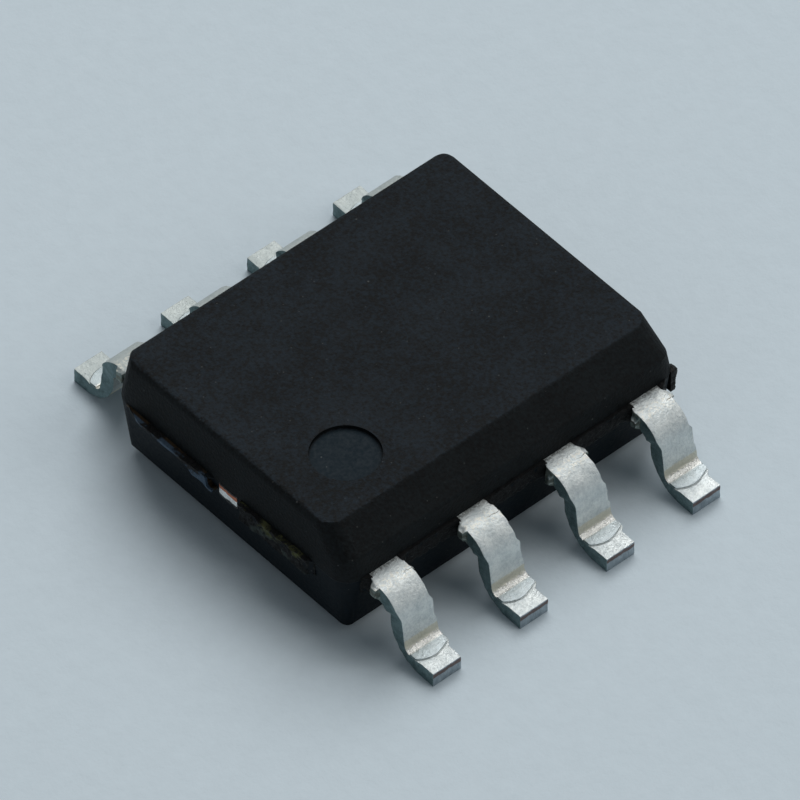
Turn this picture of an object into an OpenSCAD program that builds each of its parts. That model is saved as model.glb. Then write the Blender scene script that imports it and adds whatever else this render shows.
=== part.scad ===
// Eight-lead small-outline integrated circuit (SOIC-8, 1.27 mm pitch).
// A chip on a die paddle, wired to eight gull-wing leads and moulded into
// black epoxy. The bond wires, the leads and the paddle lie in the mould
// body face to face, because the resin sets around them.
//
// Frame: X runs along the lead rows, Y across them, Z up. The origin is on
// the seating plane, under the middle of the body. Leads 1 to 4 stand on
// the -Y side from left to right, and leads 5 to 8 on the +Y side from
// right to left, counter-clockwise as seen from above.

/* [Mould body] */
// Length of the body at the parting line
body_l = 4.90; // [4.80:0.01:5.20]
// Width of the body at the parting line
body_w = 3.90; // [3.80:0.01:4.00]
// Height of the top face above the seating plane
body_top = 1.55; // [1.50:0.01:1.75]
// Gap between the seating plane and the underside of the body
standoff = 0.14; // [0.10:0.01:0.25]
// Draft of the mould walls, in degrees
draft = 7; // [5:0.5:9]
// Radius of the upright corners at the underside, where it is smallest
corner_r = 0.15; // [0.08:0.01:0.22]
// Rounding along the edges of the top face
top_edge_r = 0.10; // [0.03:0.01:0.12]
// Rounding along the edges of the underside
bottom_edge_r = 0.05; // [0.02:0.01:0.10]

/* [Bevel and marks] */
// Width of the bevel that marks the side of leads 1 to 4
bevel_w = 0.31; // [0.20:0.01:0.40]
// Height of the bevel
bevel_h = 0.31; // [0.20:0.01:0.35]
// Rounding where the bevel breaks into the top and the side
bevel_break_r = 0.08; // [0.03:0.01:0.12]
// Diameter of the round dimple beside lead 1
dimple_d = 0.82; // [0.50:0.01:1.00]
// Depth of the dimple
dimple_depth = 0.05; // [0.02:0.005:0.08]
// Distance of the dimple's centre from the left end of the body
dimple_from_end = 0.97; // [0.85:0.01:1.20]
// Distance of the dimple's centre from the parting line on the lead 1 side
dimple_from_side = 1.10; // [1.05:0.01:1.30]
// Diameter of the ejector pin mark in the underside
ejector_d = 0.90; // [0.50:0.01:1.20]
// Depth of the ejector pin mark
ejector_depth = 0.02; // [0.01:0.005:0.05]

/* [Flash and gate] */
// How far the thin flash stands out of the parting line
flash_out = 0.07; // [0.02:0.01:0.10]
// Thickness of the flash
flash_t = 0.03; // [0.02:0.01:0.06]
// Length of the flash on the left end, behind the tie bar
flash_l = 1.45; // [0.80:0.01:1.50]
// Width of the broken gate on the left end, in front of the tie bar
gate_w = 1.20; // [0.80:0.01:1.30]
// Height of the broken gate, down from the parting line
gate_h = 0.20; // [0.12:0.01:0.25]
// How far the broken gate stands out of the body
gate_out = 0.04; // [0.01:0.01:0.06]
// Clear distance from the tie bar to the gate and to the flash
gate_gap = 0.07; // [0.03:0.01:0.15]
// Length of the flash nub at the corner beside lead 4
nub_l = 0.14; // [0.08:0.01:0.20]
// Height of the flash nub, down from the parting line
nub_h = 0.10; // [0.06:0.01:0.15]

/* [Leads] */
// Distance between neighbouring leads
pitch = 1.27; // [1.25:0.01:1.29]
// Width of a lead
lead_w = 0.406; // [0.33:0.001:0.51]
// Thickness of the lead frame
lead_t = 0.20; // [0.17:0.01:0.25]
// Height of the upper face of the lead frame, where the mould parts
parting_z = 0.954; // [0.90:0.001:1.00]
// Distance between the toes of opposite leads
tip_span = 6.02; // [5.90:0.01:6.20]
// Straight length of a lead between the body and its shoulder bend
shoulder_l = 0.185; // [0.15:0.005:0.22]
// Inner radius of the shoulder bend
shoulder_r = 0.17; // [0.10:0.01:0.20]
// Inner radius of the heel bend
heel_r = 0.10; // [0.07:0.01:0.13]
// Thickness to which the heel is pressed, between its inner and outer bends
heel_t = 0.115; // [0.110:0.005:0.160]
// How far each side of a lead spreads between the dam bar and the heel
lead_spread = 0.027; // [0.010:0.001:0.045]
// Outward lean of the riser between the two bends, in degrees
riser_lean = 8; // [0:0.5:12]
// How far the heel bulges out of the lead's side on the lead 4 end
heel_bulge = 0.06; // [0.03:0.01:0.07]
// How far the heel bulges out of its other side
heel_bulge_far = 0.01; // [0.01:0.01:0.05]
// Length over which the bulge fades into the sides of the lead
bulge_fade = 0.12; // [0.05:0.01:0.20]
// Radius of the crescent that the forming punch leaves on the foot
coin_r = 0.27; // [0.25:0.005:0.29]
// Distance from the heel bend to the centre of the crescent, inwards
coin_back = 0.105; // [0.08:0.005:0.12]
// Height of the metal that the punch raises behind the crescent
coin_lift = 0.02; // [0.01:0.005:0.03]

/* [Dam bar] */
// Clear distance from the body to the trimmed dam bar
dam_gap = 0.09; // [0.06:0.01:0.11]
// Width of the trimmed dam bar
dam_w = 0.13; // [0.08:0.01:0.16]
// How far a trimmed stub stands out of the side of a lead
dam_stub = 0.05; // [0.02:0.01:0.08]
// Run of a stub's slanted sides
dam_slant = 0.03; // [0.01:0.005:0.035]
// How far the resin web stands out of the body, midway between two leads
web_mid = 0.035; // [0.02:0.005:0.05]
// Width of the thicker resin beside a lead
web_side = 0.12; // [0.06:0.01:0.20]

/* [Inner leads] */
// Distance from the side of the body to the tips of the inner leads
inner_l = 0.75; // [0.60:0.01:0.80]
// Depth of the head at the tip of an inner lead
head_d = 0.36; // [0.25:0.01:0.42]
// Width of the head of an inner lead in the middle of a row
head_w = 0.70; // [0.50:0.01:0.80]
// Clear distance between the heads of neighbouring inner leads
head_gap = 0.20; // [0.15:0.01:0.30]

/* [Die paddle] */
// Length of the die paddle
paddle_l = 2.70; // [2.20:0.01:3.00]
// Clear distance between the paddle and the tips of the inner leads
paddle_gap = 0.20; // [0.15:0.01:0.35]
// Radius of the paddle's corners
paddle_corner_r = 0.10; // [0.05:0.01:0.20]
// How far the paddle lies below the leads
downset = 0.20; // [0.10:0.01:0.25]
// Width of the two tie bars that hold the paddle
tie_w = 0.30; // [0.20:0.01:0.40]
// Length of the sloping step in a tie bar
tie_step = 0.25; // [0.20:0.01:0.40]
// Straight length of a tie bar between the paddle and its step
tie_flat = 0.20; // [0.10:0.01:0.30]

/* [Silicon chip] */
// Length of the chip
die_l = 1.60; // [1.20:0.01:2.00]
// Width of the chip
die_w = 1.20; // [0.90:0.01:1.50]
// Thickness of the chip
die_t = 0.25; // [0.20:0.01:0.28]
// Thickness of the silver epoxy under the chip
attach_t = 0.03; // [0.02:0.005:0.05]
// How far the epoxy shows around the chip
attach_rim = 0.06; // [0.03:0.01:0.10]
// Height to which the epoxy climbs the sides of the chip
attach_climb = 0.08; // [0.04:0.01:0.12]
// Width of the epoxy at the top of its climb
attach_lip = 0.01; // [0.005:0.005:0.02]
// Side of a square bond pad
pad_w = 0.10; // [0.09:0.005:0.12]
// Height of a bond pad above the chip
pad_t = 0.004; // [0.002:0.001:0.008]
// Distance from the edge of the chip to the middle of a bond pad
pad_inset = 0.11; // [0.08:0.01:0.15]

/* [Bond wires] */
// Diameter of a bond wire
wire_d = 0.03; // [0.02:0.001:0.035]
// Diameter of the ball on the chip
ball_d = 0.08; // [0.06:0.005:0.085]
// Height of the ball
ball_h = 0.024; // [0.015:0.001:0.030]
// Height of the wire loop above the chip
loop_h = 0.16; // [0.12:0.01:0.20]
// Radius of the knee at the top of the loop
knee_r = 0.07; // [0.05:0.01:0.09]
// Length of the flat stitch on the lead
stitch_l = 0.09; // [0.06:0.01:0.12]
// Width of the flat stitch
stitch_w = 0.06; // [0.04:0.005:0.08]

/* [Hidden] */

$fn = 96;
LEADS = 8;
PER_ROW = LEADS / 2;
// Chords in each rounded edge of the body and in each bend of a lead
FILLET_STEPS = 5;
BEND_STEPS = 12;
// Sides of a bond wire, and the steps round its knee
WIRE_SIDES = 8;
KNEE_STEPS = 3;
// Length that a cutting shape reaches past the surface it cuts
past = 0.5;

// Mould body
half_l = body_l / 2;
half_w = body_w / 2;
upper_h = body_top - parting_z;
lower_h = parting_z - standoff;
top_in = upper_h * tan(draft);
bottom_in = lower_h * tan(draft);
bevel_in = (upper_h - bevel_h) * tan(draft);
parting_r = corner_r + bottom_in;
dimple_x = -half_l + dimple_from_end;
dimple_y = -half_w + dimple_from_side;

// Lead profile, with u measured outwards from the middle of the body
frame_z = parting_z - lead_t;
shoulder_u = half_w + shoulder_l;
shoulder_z = frame_z - shoulder_r;
heel_z = lead_t + heel_r;
toe_u = tip_span / 2;
riser_x0 = shoulder_u + (shoulder_r + lead_t) * cos(riser_lean);
riser_z0 = shoulder_z + (shoulder_r + lead_t) * sin(riser_lean);
riser_l = (riser_z0 + heel_r * sin(riser_lean) - heel_z) / cos(riser_lean);
heel_u = riser_x0 + riser_l * sin(riser_lean) + heel_r * cos(riser_lean);
coin_u = heel_u - coin_back;
corner_sin = sin((90 + riser_lean) / 2);
heel_back_r = ((heel_r + lead_t) / corner_sin - heel_r - heel_t) / (1 / corner_sin - 1);
heel_back_u = heel_u + (heel_back_r - heel_r - lead_t) / tan((90 + riser_lean) / 2);
dam_u = half_w + dam_gap;

// Inner leads and paddle
tip_u = half_w - inner_l;
row_mid_x = pitch / 2;
row_end_x = pitch * 3 / 2;
head_inner_x = row_mid_x + head_w / 2 + head_gap;
paddle_w = 2 * (tip_u - paddle_gap);
paddle_z = frame_z - downset;
step_x = paddle_l / 2 + tie_flat;

// Chip and wires
attach_z = paddle_z + lead_t;
die_z = attach_z + attach_t;
die_top = die_z + die_t;
pad_top = die_top + pad_t;
pad_y = die_w / 2 - pad_inset;
pad_end_x = die_l / 2 - pad_inset;
pad_mid_x = pad_end_x / 3;
bond_u = tip_u + head_d / 2;
bond_end_x = (head_inner_x + row_end_x) / 2;

// Which row a lead stands in (-1 in front, +1 behind), and its place there
function row_side(n) = n <= PER_ROW ? -1 : 1;
function place_x(n) = n <= PER_ROW ? n - 2.5 : 6.5 - n;
function lead_x(n) = place_x(n) * pitch;
function at_row_end(n) = abs(place_x(n)) > 1;
function toward_end(n) = sign(place_x(n));

// Unit vector from one point to another
function unit(a, b) = (b - a) / norm(b - a);

// Centre of the circle that touches both sides of a corner
function fillet_centre(a, p, b, r) =
    let (half = acos(unit(p, a) * unit(p, b)) / 2)
    p + unit([0, 0], unit(p, a) + unit(p, b)) * r / sin(half);

// Distance from a corner to the points where the fillet begins
function fillet_run(a, p, b, r) = r / tan(acos(unit(p, a) * unit(p, b)) / 2);

// Points of a rounded corner, in short chords that touch the arc's ends
function fillet_points(a, p, b, r) =
    r == 0 ? [p] :
    let (centre = fillet_centre(a, p, b, r),
         run = fillet_run(a, p, b, r),
         from = p + unit(p, a) * run - centre,
         to = p + unit(p, b) * run - centre,
         start = atan2(from.y, from.x),
         turn = atan2(cross(from, to), from * to))
    [for (i = [0:FILLET_STEPS])
        centre + r * [cos(start + turn * i / FILLET_STEPS),
                      sin(start + turn * i / FILLET_STEPS)]];

// Polygon whose corners are rounded, each by its own radius
module rounded_profile(points, radii) {
    count = len(points);
    polygon([for (i = [0:count - 1])
        each fillet_points(points[(i + count - 1) % count], points[i],
                           points[(i + 1) % count], radii[i])]);
}

// Points along an arc, in short chords
function arc_points(centre, r, from, to) =
    [for (i = [0:BEND_STEPS])
        let (angle = from + (to - from) * i / BEND_STEPS)
        centre + r * [cos(angle), sin(angle)]];

// Section of the body across the lead rows, with the bevel on the -Y side
module body_cross_section() {
    rounded_profile(
        [[-half_w + bottom_in, standoff],
         [half_w - bottom_in, standoff],
         [half_w, parting_z],
         [half_w - top_in, body_top],
         [-half_w + top_in + bevel_w, body_top],
         [-half_w + bevel_in, body_top - bevel_h],
         [-half_w, parting_z]],
        [bottom_edge_r, bottom_edge_r, 0, top_edge_r,
         bevel_break_r, bevel_break_r, 0]);
}

// Section of the body along the lead rows
module body_long_section() {
    rounded_profile(
        [[-half_l + bottom_in, standoff],
         [half_l - bottom_in, standoff],
         [half_l, parting_z],
         [half_l - top_in, body_top],
         [-half_l + top_in, body_top],
         [-half_l, parting_z]],
        [bottom_edge_r, bottom_edge_r, 0, top_edge_r, top_edge_r, 0]);
}

// Waste outside the rounded corners of one mould half, from the parting up
module corner_trim(height) {
    over = corner_r / 2;
    for (x = [0, 1], y = [0, 1])
        mirror([x, 0, 0]) mirror([0, y, 0])
            translate([half_l - parting_r, half_w - parting_r, 0])
                difference() {
                    cube([past, past, height + past]);
                    cylinder(h = height + over, r1 = parting_r,
                             r2 = parting_r - (height + over) * tan(draft));
                }
}

// Outer form that the two mould halves leave
module mould_form() {
    difference() {
        intersection() {
            rotate([90, 0, 90]) translate([0, 0, -half_l - past])
                linear_extrude(body_l + 2 * past) body_cross_section();
            rotate([90, 0, 0]) translate([0, 0, -half_w - past])
                linear_extrude(body_w + 2 * past) body_long_section();
        }
        translate([0, 0, parting_z]) corner_trim(upper_h);
        translate([0, 0, parting_z]) mirror([0, 0, 1]) corner_trim(lower_h);
    }
}

// Flat piece of resin that stands out of the -X end, its ends slanted
module end_ledge(from_y, length, out, height) {
    translate([0, 0, parting_z - height])
        linear_extrude(height)
            polygon([[-half_l + past, from_y],
                     [-half_l + past, from_y + length],
                     [-half_l, from_y + length],
                     [-half_l - out, from_y + length - 2 * out],
                     [-half_l - out, from_y + 2 * out],
                     [-half_l, from_y]]);
}

// Thin flash behind the tie bar
module parting_flash() {
    end_ledge(tie_w / 2 + gate_gap, flash_l, flash_out, flash_t);
}

// Broken gate in front of the tie bar, where the resin flowed in
module gate_remnant() {
    end_ledge(-tie_w / 2 - gate_gap - gate_w, gate_w, gate_out, gate_h);
}

// Nub of flash on the +X end, at the corner beside lead 4
module flash_nub() {
    translate([half_l - past, -half_w + parting_r / 3, parting_z - nub_h])
        cube([past + flash_out, nub_l, nub_h]);
}

// Resin left between the leads of the row on the +Y side, up to the dam bar
module dam_web() {
    side = lead_w / 2 + web_side;
    translate([0, 0, frame_z]) linear_extrude(lead_t) {
        translate([-row_end_x, half_w - past])
            square([2 * row_end_x, past + web_mid]);
        for (x = [-row_end_x, -row_mid_x, row_mid_x, row_end_x])
            translate([x, half_w])
                polygon([[-side, -past], [side, -past], [side, 0],
                         [lead_w / 2, dam_gap], [-lead_w / 2, dam_gap], [-side, 0]]);
    }
}

// Strip of the lead's own thickness, bent to the gull-wing shape
module lead_side_profile() {
    shoulder = [shoulder_u, shoulder_z];
    heel = [heel_u, heel_z];
    polygon(concat(
        [[tip_u, parting_z]],
        arc_points(shoulder, shoulder_r + lead_t, 90, riser_lean),
        arc_points(heel, heel_r, 180 + riser_lean, 270),
        [[toe_u, lead_t], [toe_u, 0]],
        arc_points(heel, heel_r + lead_t, 270, 180 + riser_lean),
        arc_points(shoulder, shoulder_r, riser_lean, 90),
        [[tip_u, frame_z]]));
}

// Outline of a lead from above, with +x towards the near end of the row
module lead_plan(end_lead) {
    head_from = end_lead ? head_inner_x - row_end_x : -head_w / 2;
    head_to = end_lead ? lead_w / 2 : head_w / 2;
    stub_x = lead_w / 2 + dam_stub;
    spread_x = lead_w / 2 + lead_spread;
    translate([-lead_w / 2, tip_u]) square([lead_w, toe_u - tip_u]);
    translate([head_from, tip_u]) square([head_to - head_from, head_d]);
    polygon([[-lead_w / 2, dam_u],
             [lead_w / 2, dam_u],
             [stub_x, dam_u + dam_slant],
             [stub_x, dam_u + dam_w - dam_slant],
             [lead_w / 2, dam_u + dam_w],
             [-lead_w / 2, dam_u + dam_w],
             [-stub_x, dam_u + dam_w - dam_slant],
             [-stub_x, dam_u + dam_slant]]);
    polygon([[-spread_x, dam_u + dam_w / 2],
             [spread_x, dam_u + dam_w / 2],
             [spread_x, heel_u],
             [lead_w / 2, heel_u + bulge_fade],
             [-lead_w / 2, heel_u + bulge_fade],
             [-spread_x, heel_u]]);
}

// Crescent of metal that the forming punch raises between heel and toe
module coin_mark() {
    translate([0, heel_u, lead_t]) intersection() {
        translate([0, -coin_back, 0]) cylinder(h = coin_lift, r = coin_r);
        translate([-lead_w / 2, 0, 0]) cube([lead_w, toe_u - heel_u, coin_lift]);
    }
}

// What the punch takes off the heel's outer bend, seen from the side
module heel_press_profile() {
    back = [heel_back_u, heel_back_r];
    turn = arc_points(back, heel_back_r, 180 + riser_lean, 270);
    polygon(concat([[turn[0].x - past, turn[0].y]], turn,
                   [[heel_back_u, -past], [turn[0].x - past, -past]]));
}

// Lead's side profile, drawn out across the row and pressed thin at the heel
module bent_strip(width) {
    rotate([90, 0, 90]) difference() {
        translate([0, 0, -width / 2]) linear_extrude(width) lead_side_profile();
        translate([0, 0, -width / 2 - past])
            linear_extrude(width + 2 * past) heel_press_profile();
    }
}

// Outline of the bulge, with its length along +y and its big side along x
module bulge_outline(length, side) {
    wide = side * (lead_w / 2 + heel_bulge);
    narrow = -side * (lead_w / 2 + heel_bulge_far);
    polygon([[narrow, -past],
             [wide, -past],
             [wide, length - bulge_fade],
             [side * lead_w / 2, length],
             [-side * lead_w / 2, length],
             [narrow, length - bulge_fade]]);
}

// Metal pressed out sideways at the heel, from the riser to the crescent
module heel_swelling(side) {
    top_z = heel_z + heel_r + bulge_fade;
    end_u = coin_u + coin_r;
    intersection() {
        bent_strip(pitch);
        translate([0, toe_u, 0]) rotate([90, 0, 0])
            linear_extrude(toe_u - half_w) bulge_outline(top_z, side);
        translate([0, half_w, -past])
            linear_extrude(body_top) bulge_outline(end_u - half_w, side);
    }
}

// Lead on the +Y side, standing at x = 0, with its big bulge on one side
module gull_wing(end_lead, bulge_side) {
    intersection() {
        bent_strip(2 * pitch);
        translate([0, 0, -past]) linear_extrude(body_top + past) lead_plan(end_lead);
    }
    heel_swelling(bulge_side);
    coin_mark();
}

// One lead of the lead frame, from its bonded tip to its soldered foot
module lead(n) {
    color("gainsboro")
        mirror([0, row_side(n) < 0 ? 1 : 0, 0])
            translate([lead_x(n), 0, 0])
                mirror([toward_end(n) < 0 ? 1 : 0, 0, 0])
                    gull_wing(at_row_end(n), toward_end(n));
}

// Side view of one tie bar, with its step down to the paddle
module tie_bar_profile() {
    bend = lead_t * tan(atan2(downset, tie_step) / 2);
    polygon([[0, paddle_z],
             [step_x, paddle_z],
             [step_x + tie_step, frame_z],
             [half_l, frame_z],
             [half_l, parting_z],
             [step_x + tie_step - bend, parting_z],
             [step_x - bend, attach_z],
             [0, attach_z]]);
}

// Plate that carries the chip, with the tie bars that held it in the mould
module die_paddle() {
    x = paddle_l / 2;
    y = paddle_w / 2;
    color("peru") {
        translate([0, 0, paddle_z]) linear_extrude(lead_t)
            rounded_profile([[-x, -y], [x, -y], [x, y], [-x, y]],
                            [for (i = [1:4]) paddle_corner_r]);
        for (end = [0, 1])
            mirror([end, 0, 0]) rotate([90, 0, 0]) translate([0, 0, -tie_w / 2])
                linear_extrude(tie_w) tie_bar_profile();
    }
}

// Section of the epoxy bed, over a chip of the given size
module attach_section(size) {
    base = size / 2 + attach_rim;
    lip = size / 2 + attach_lip;
    polygon([[-base, attach_z], [base, attach_z],
             [lip, die_z + attach_climb], [-lip, die_z + attach_climb]]);
}

// Bed of silver epoxy that glues the chip down and climbs its sides
module die_attach() {
    reach = die_l + die_w;
    color("silver") difference() {
        intersection() {
            rotate([90, 0, 90]) translate([0, 0, -reach])
                linear_extrude(2 * reach) attach_section(die_w);
            rotate([90, 0, 0]) translate([0, 0, -reach])
                linear_extrude(2 * reach) attach_section(die_l);
        }
        translate([-die_l / 2, -die_w / 2, die_z]) cube([die_l, die_w, die_t]);
    }
}

// Silicon chip with eight raised bond pads
module silicon_chip() {
    color("slategray") {
        translate([-die_l / 2, -die_w / 2, die_z]) cube([die_l, die_w, die_t]);
        for (n = [1:LEADS])
            translate([pad_place(n).x - pad_w / 2, pad_place(n).y - pad_w / 2, die_top])
                cube([pad_w, pad_w, pad_t]);
    }
}

// Where the wire of lead n leaves the chip, and where it meets the lead
function pad_place(n) =
    [toward_end(n) * (at_row_end(n) ? pad_end_x : pad_mid_x), row_side(n) * pad_y];
function bond_place(n) =
    [toward_end(n) * (at_row_end(n) ? bond_end_x : row_mid_x), row_side(n) * bond_u];

// Rings of a wire: [run, height, tilt, half size in the loop's plane, half width]
function wire_rings(span) =
    let (wire_r = wire_d / 2,
         knee_z = pad_top + loop_h - knee_r,
         flat_x = span - stitch_l,
         flat_z = parting_z + wire_d,
         reach = norm([flat_x - knee_r, flat_z - knee_z]),
         tilt = atan2(flat_z - knee_z, flat_x - knee_r) - asin(knee_r / reach))
    concat(
        [[0, pad_top, 90, 0.4 * ball_d, 0.4 * ball_d],
         [0, pad_top + ball_h / 3, 90, ball_d / 2, ball_d / 2],
         [0, pad_top + ball_h * 2 / 3, 90, ball_d / 2, ball_d / 2],
         [0, pad_top + ball_h, 90, wire_r, wire_r]],
        [for (i = [0:KNEE_STEPS])
            let (turn = (90 - tilt) * i / KNEE_STEPS)
            [knee_r * (1 - cos(turn)), knee_z + knee_r * sin(turn), 90 - turn,
             wire_r, wire_r]],
        [[flat_x, flat_z, tilt, wire_r, wire_r],
         [span, parting_z, -90, stitch_l / 2, stitch_w / 2]]);

// Corner points of one ring
function ring_points(ring) =
    [for (i = [0:WIRE_SIDES - 1])
        let (turn = 360 * i / WIRE_SIDES,
             out = ring[3] * cos(turn))
        [ring[0] - out * sin(ring[2]), ring[4] * sin(turn), ring[1] + out * cos(ring[2])]];

// Wire with a ball on the chip, a loop and a flat stitch on lead n
module bond_wire(n) {
    run = bond_place(n) - pad_place(n);
    rings = wire_rings(norm(run));
    last = (len(rings) - 1) * WIRE_SIDES;
    sides = [for (r = [0:len(rings) - 2], i = [0:WIRE_SIDES - 1])
        let (a = r * WIRE_SIDES + i,
             b = r * WIRE_SIDES + (i + 1) % WIRE_SIDES)
        each [[a, b, a + WIRE_SIDES], [b, b + WIRE_SIDES, a + WIRE_SIDES]]];
    color("gold") translate(pad_place(n)) rotate(atan2(run.y, run.x))
        polyhedron(
            points = [for (ring = rings) each ring_points(ring)],
            faces = concat([[for (i = [WIRE_SIDES - 1:-1:0]) i]], sides,
                           [[for (i = [0:WIRE_SIDES - 1]) last + i]]));
}

// Moulded epoxy body, set around everything but the outer leads
module mould_body() {
    color([0.13, 0.14, 0.15]) difference() {
        union() {
            mould_form();
            parting_flash();
            gate_remnant();
            flash_nub();
            dam_web();
            mirror([0, 1, 0]) dam_web();
        }
        translate([dimple_x, dimple_y, body_top - dimple_depth])
            cylinder(h = dimple_depth + past, d = dimple_d);
        translate([0, 0, standoff - past])
            cylinder(h = past + ejector_depth, d = ejector_d);
        die_paddle();
        die_attach();
        silicon_chip();
        for (n = [1:LEADS]) {
            lead(n);
            bond_wire(n);
        }
    }
}

mould_body();
lead(1);  // lead_1
lead(2);  // lead_2
lead(3);  // lead_3
lead(4);  // lead_4
lead(5);  // lead_5
lead(6);  // lead_6
lead(7);  // lead_7
lead(8);  // lead_8
die_paddle();
die_attach();
silicon_chip();
bond_wire(1);  // bond_wire_1
bond_wire(2);  // bond_wire_2
bond_wire(3);  // bond_wire_3
bond_wire(4);  // bond_wire_4
bond_wire(5);  // bond_wire_5
bond_wire(6);  // bond_wire_6
bond_wire(7);  // bond_wire_7
bond_wire(8);  // bond_wire_8
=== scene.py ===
"""Looks of the eight-lead small-outline chip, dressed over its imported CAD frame.

The mould body, the eight leads and the die paddle are modelled here in finer form and stand for their CAD
nodes. The chip, its epoxy bed and the bond wires inside keep their CAD shape and get their finishes. Meshes
are modelled in millimetres at the frame's own origin, and are scaled to metres as the last step of each piece.
"""

import logging
import math
from collections.abc import Callable, Iterator
from contextlib import contextmanager
from dataclasses import dataclass
from enum import Enum

import bmesh
import bpy
from mathutils import Matrix, Vector


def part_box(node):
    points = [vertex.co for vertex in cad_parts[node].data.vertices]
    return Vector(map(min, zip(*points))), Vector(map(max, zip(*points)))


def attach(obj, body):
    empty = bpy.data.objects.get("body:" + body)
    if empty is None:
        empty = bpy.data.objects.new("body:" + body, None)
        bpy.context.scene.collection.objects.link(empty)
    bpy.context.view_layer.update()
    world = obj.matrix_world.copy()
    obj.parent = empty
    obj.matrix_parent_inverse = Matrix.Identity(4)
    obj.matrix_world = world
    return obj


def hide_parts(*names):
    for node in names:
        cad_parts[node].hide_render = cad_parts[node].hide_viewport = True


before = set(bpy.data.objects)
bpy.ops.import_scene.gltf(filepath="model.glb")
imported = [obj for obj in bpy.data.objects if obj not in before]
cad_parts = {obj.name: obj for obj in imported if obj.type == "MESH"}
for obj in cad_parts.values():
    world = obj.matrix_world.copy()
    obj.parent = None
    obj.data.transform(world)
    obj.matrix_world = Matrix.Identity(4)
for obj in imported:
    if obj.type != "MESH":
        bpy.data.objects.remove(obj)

log = logging.getLogger("soic_chip")

MM = 0.001
LEADS = 8
PER_ROW = LEADS // 2

Socket = bpy.types.NodeSocket
Material = bpy.types.Material
Colour = tuple[float, float, float]
Place = tuple[float, float, float]
Plane = tuple[Vector, Vector]
FaceTest = Callable[[Vector, Vector], bool]
Stops = list[tuple[float, Colour]]


class Axis(Enum):
    """A direction that a displacement follows."""

    X = "X"
    Y = "Y"
    Z = "Z"
    NORMAL = "NORMAL"


class RowSide(Enum):
    """The row that a lead stands in: leads 1 to 4 in front, 5 to 8 behind."""

    FRONT = -1
    BACK = 1


def linear(red: int, green: int, blue: int) -> Colour:
    """Turns a screen colour into the linear one that a shader takes.

    Args:
        red: Red, 0 to 255.
        green: Green, 0 to 255.
        blue: Blue, 0 to 255.

    Returns:
        The same colour in linear light.
    """

    def channel(value: int) -> float:
        """Returns one channel in linear light."""
        part = value / 255
        return part / 12.92 if part <= 0.04045 else ((part + 0.055) / 1.055) ** 2.4

    return channel(red), channel(green), channel(blue)


def box_mm(node: str) -> tuple[Vector, Vector]:
    """Gives the box of a CAD node in millimetres.

    Args:
        node: Name of the CAD node.

    Returns:
        The lowest and the highest corner.
    """
    low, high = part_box(node)
    return Vector(low) / MM, Vector(high) / MM


def ease(value: float) -> float:
    """Clamps a value to 0..1 and eases it at both ends."""
    part = min(1.0, max(0.0, value))
    return part * part * (3 - 2 * part)


def plateau(value: float, start: float, end: float, fade: float) -> float:
    """Weighs a place by whether it lies in a stretch.

    Args:
        value: Where the place is.
        start: Where the stretch begins.
        end: Where it ends.
        fade: Length over which the weight fades out beyond each end.

    Returns:
        1 inside the stretch, 0 outside it, and a soft step between.
    """
    return ease((value - start) / fade + 1) * ease((end - value) / fade + 1)


# ---------------------------------------------------------------- finishes


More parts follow.
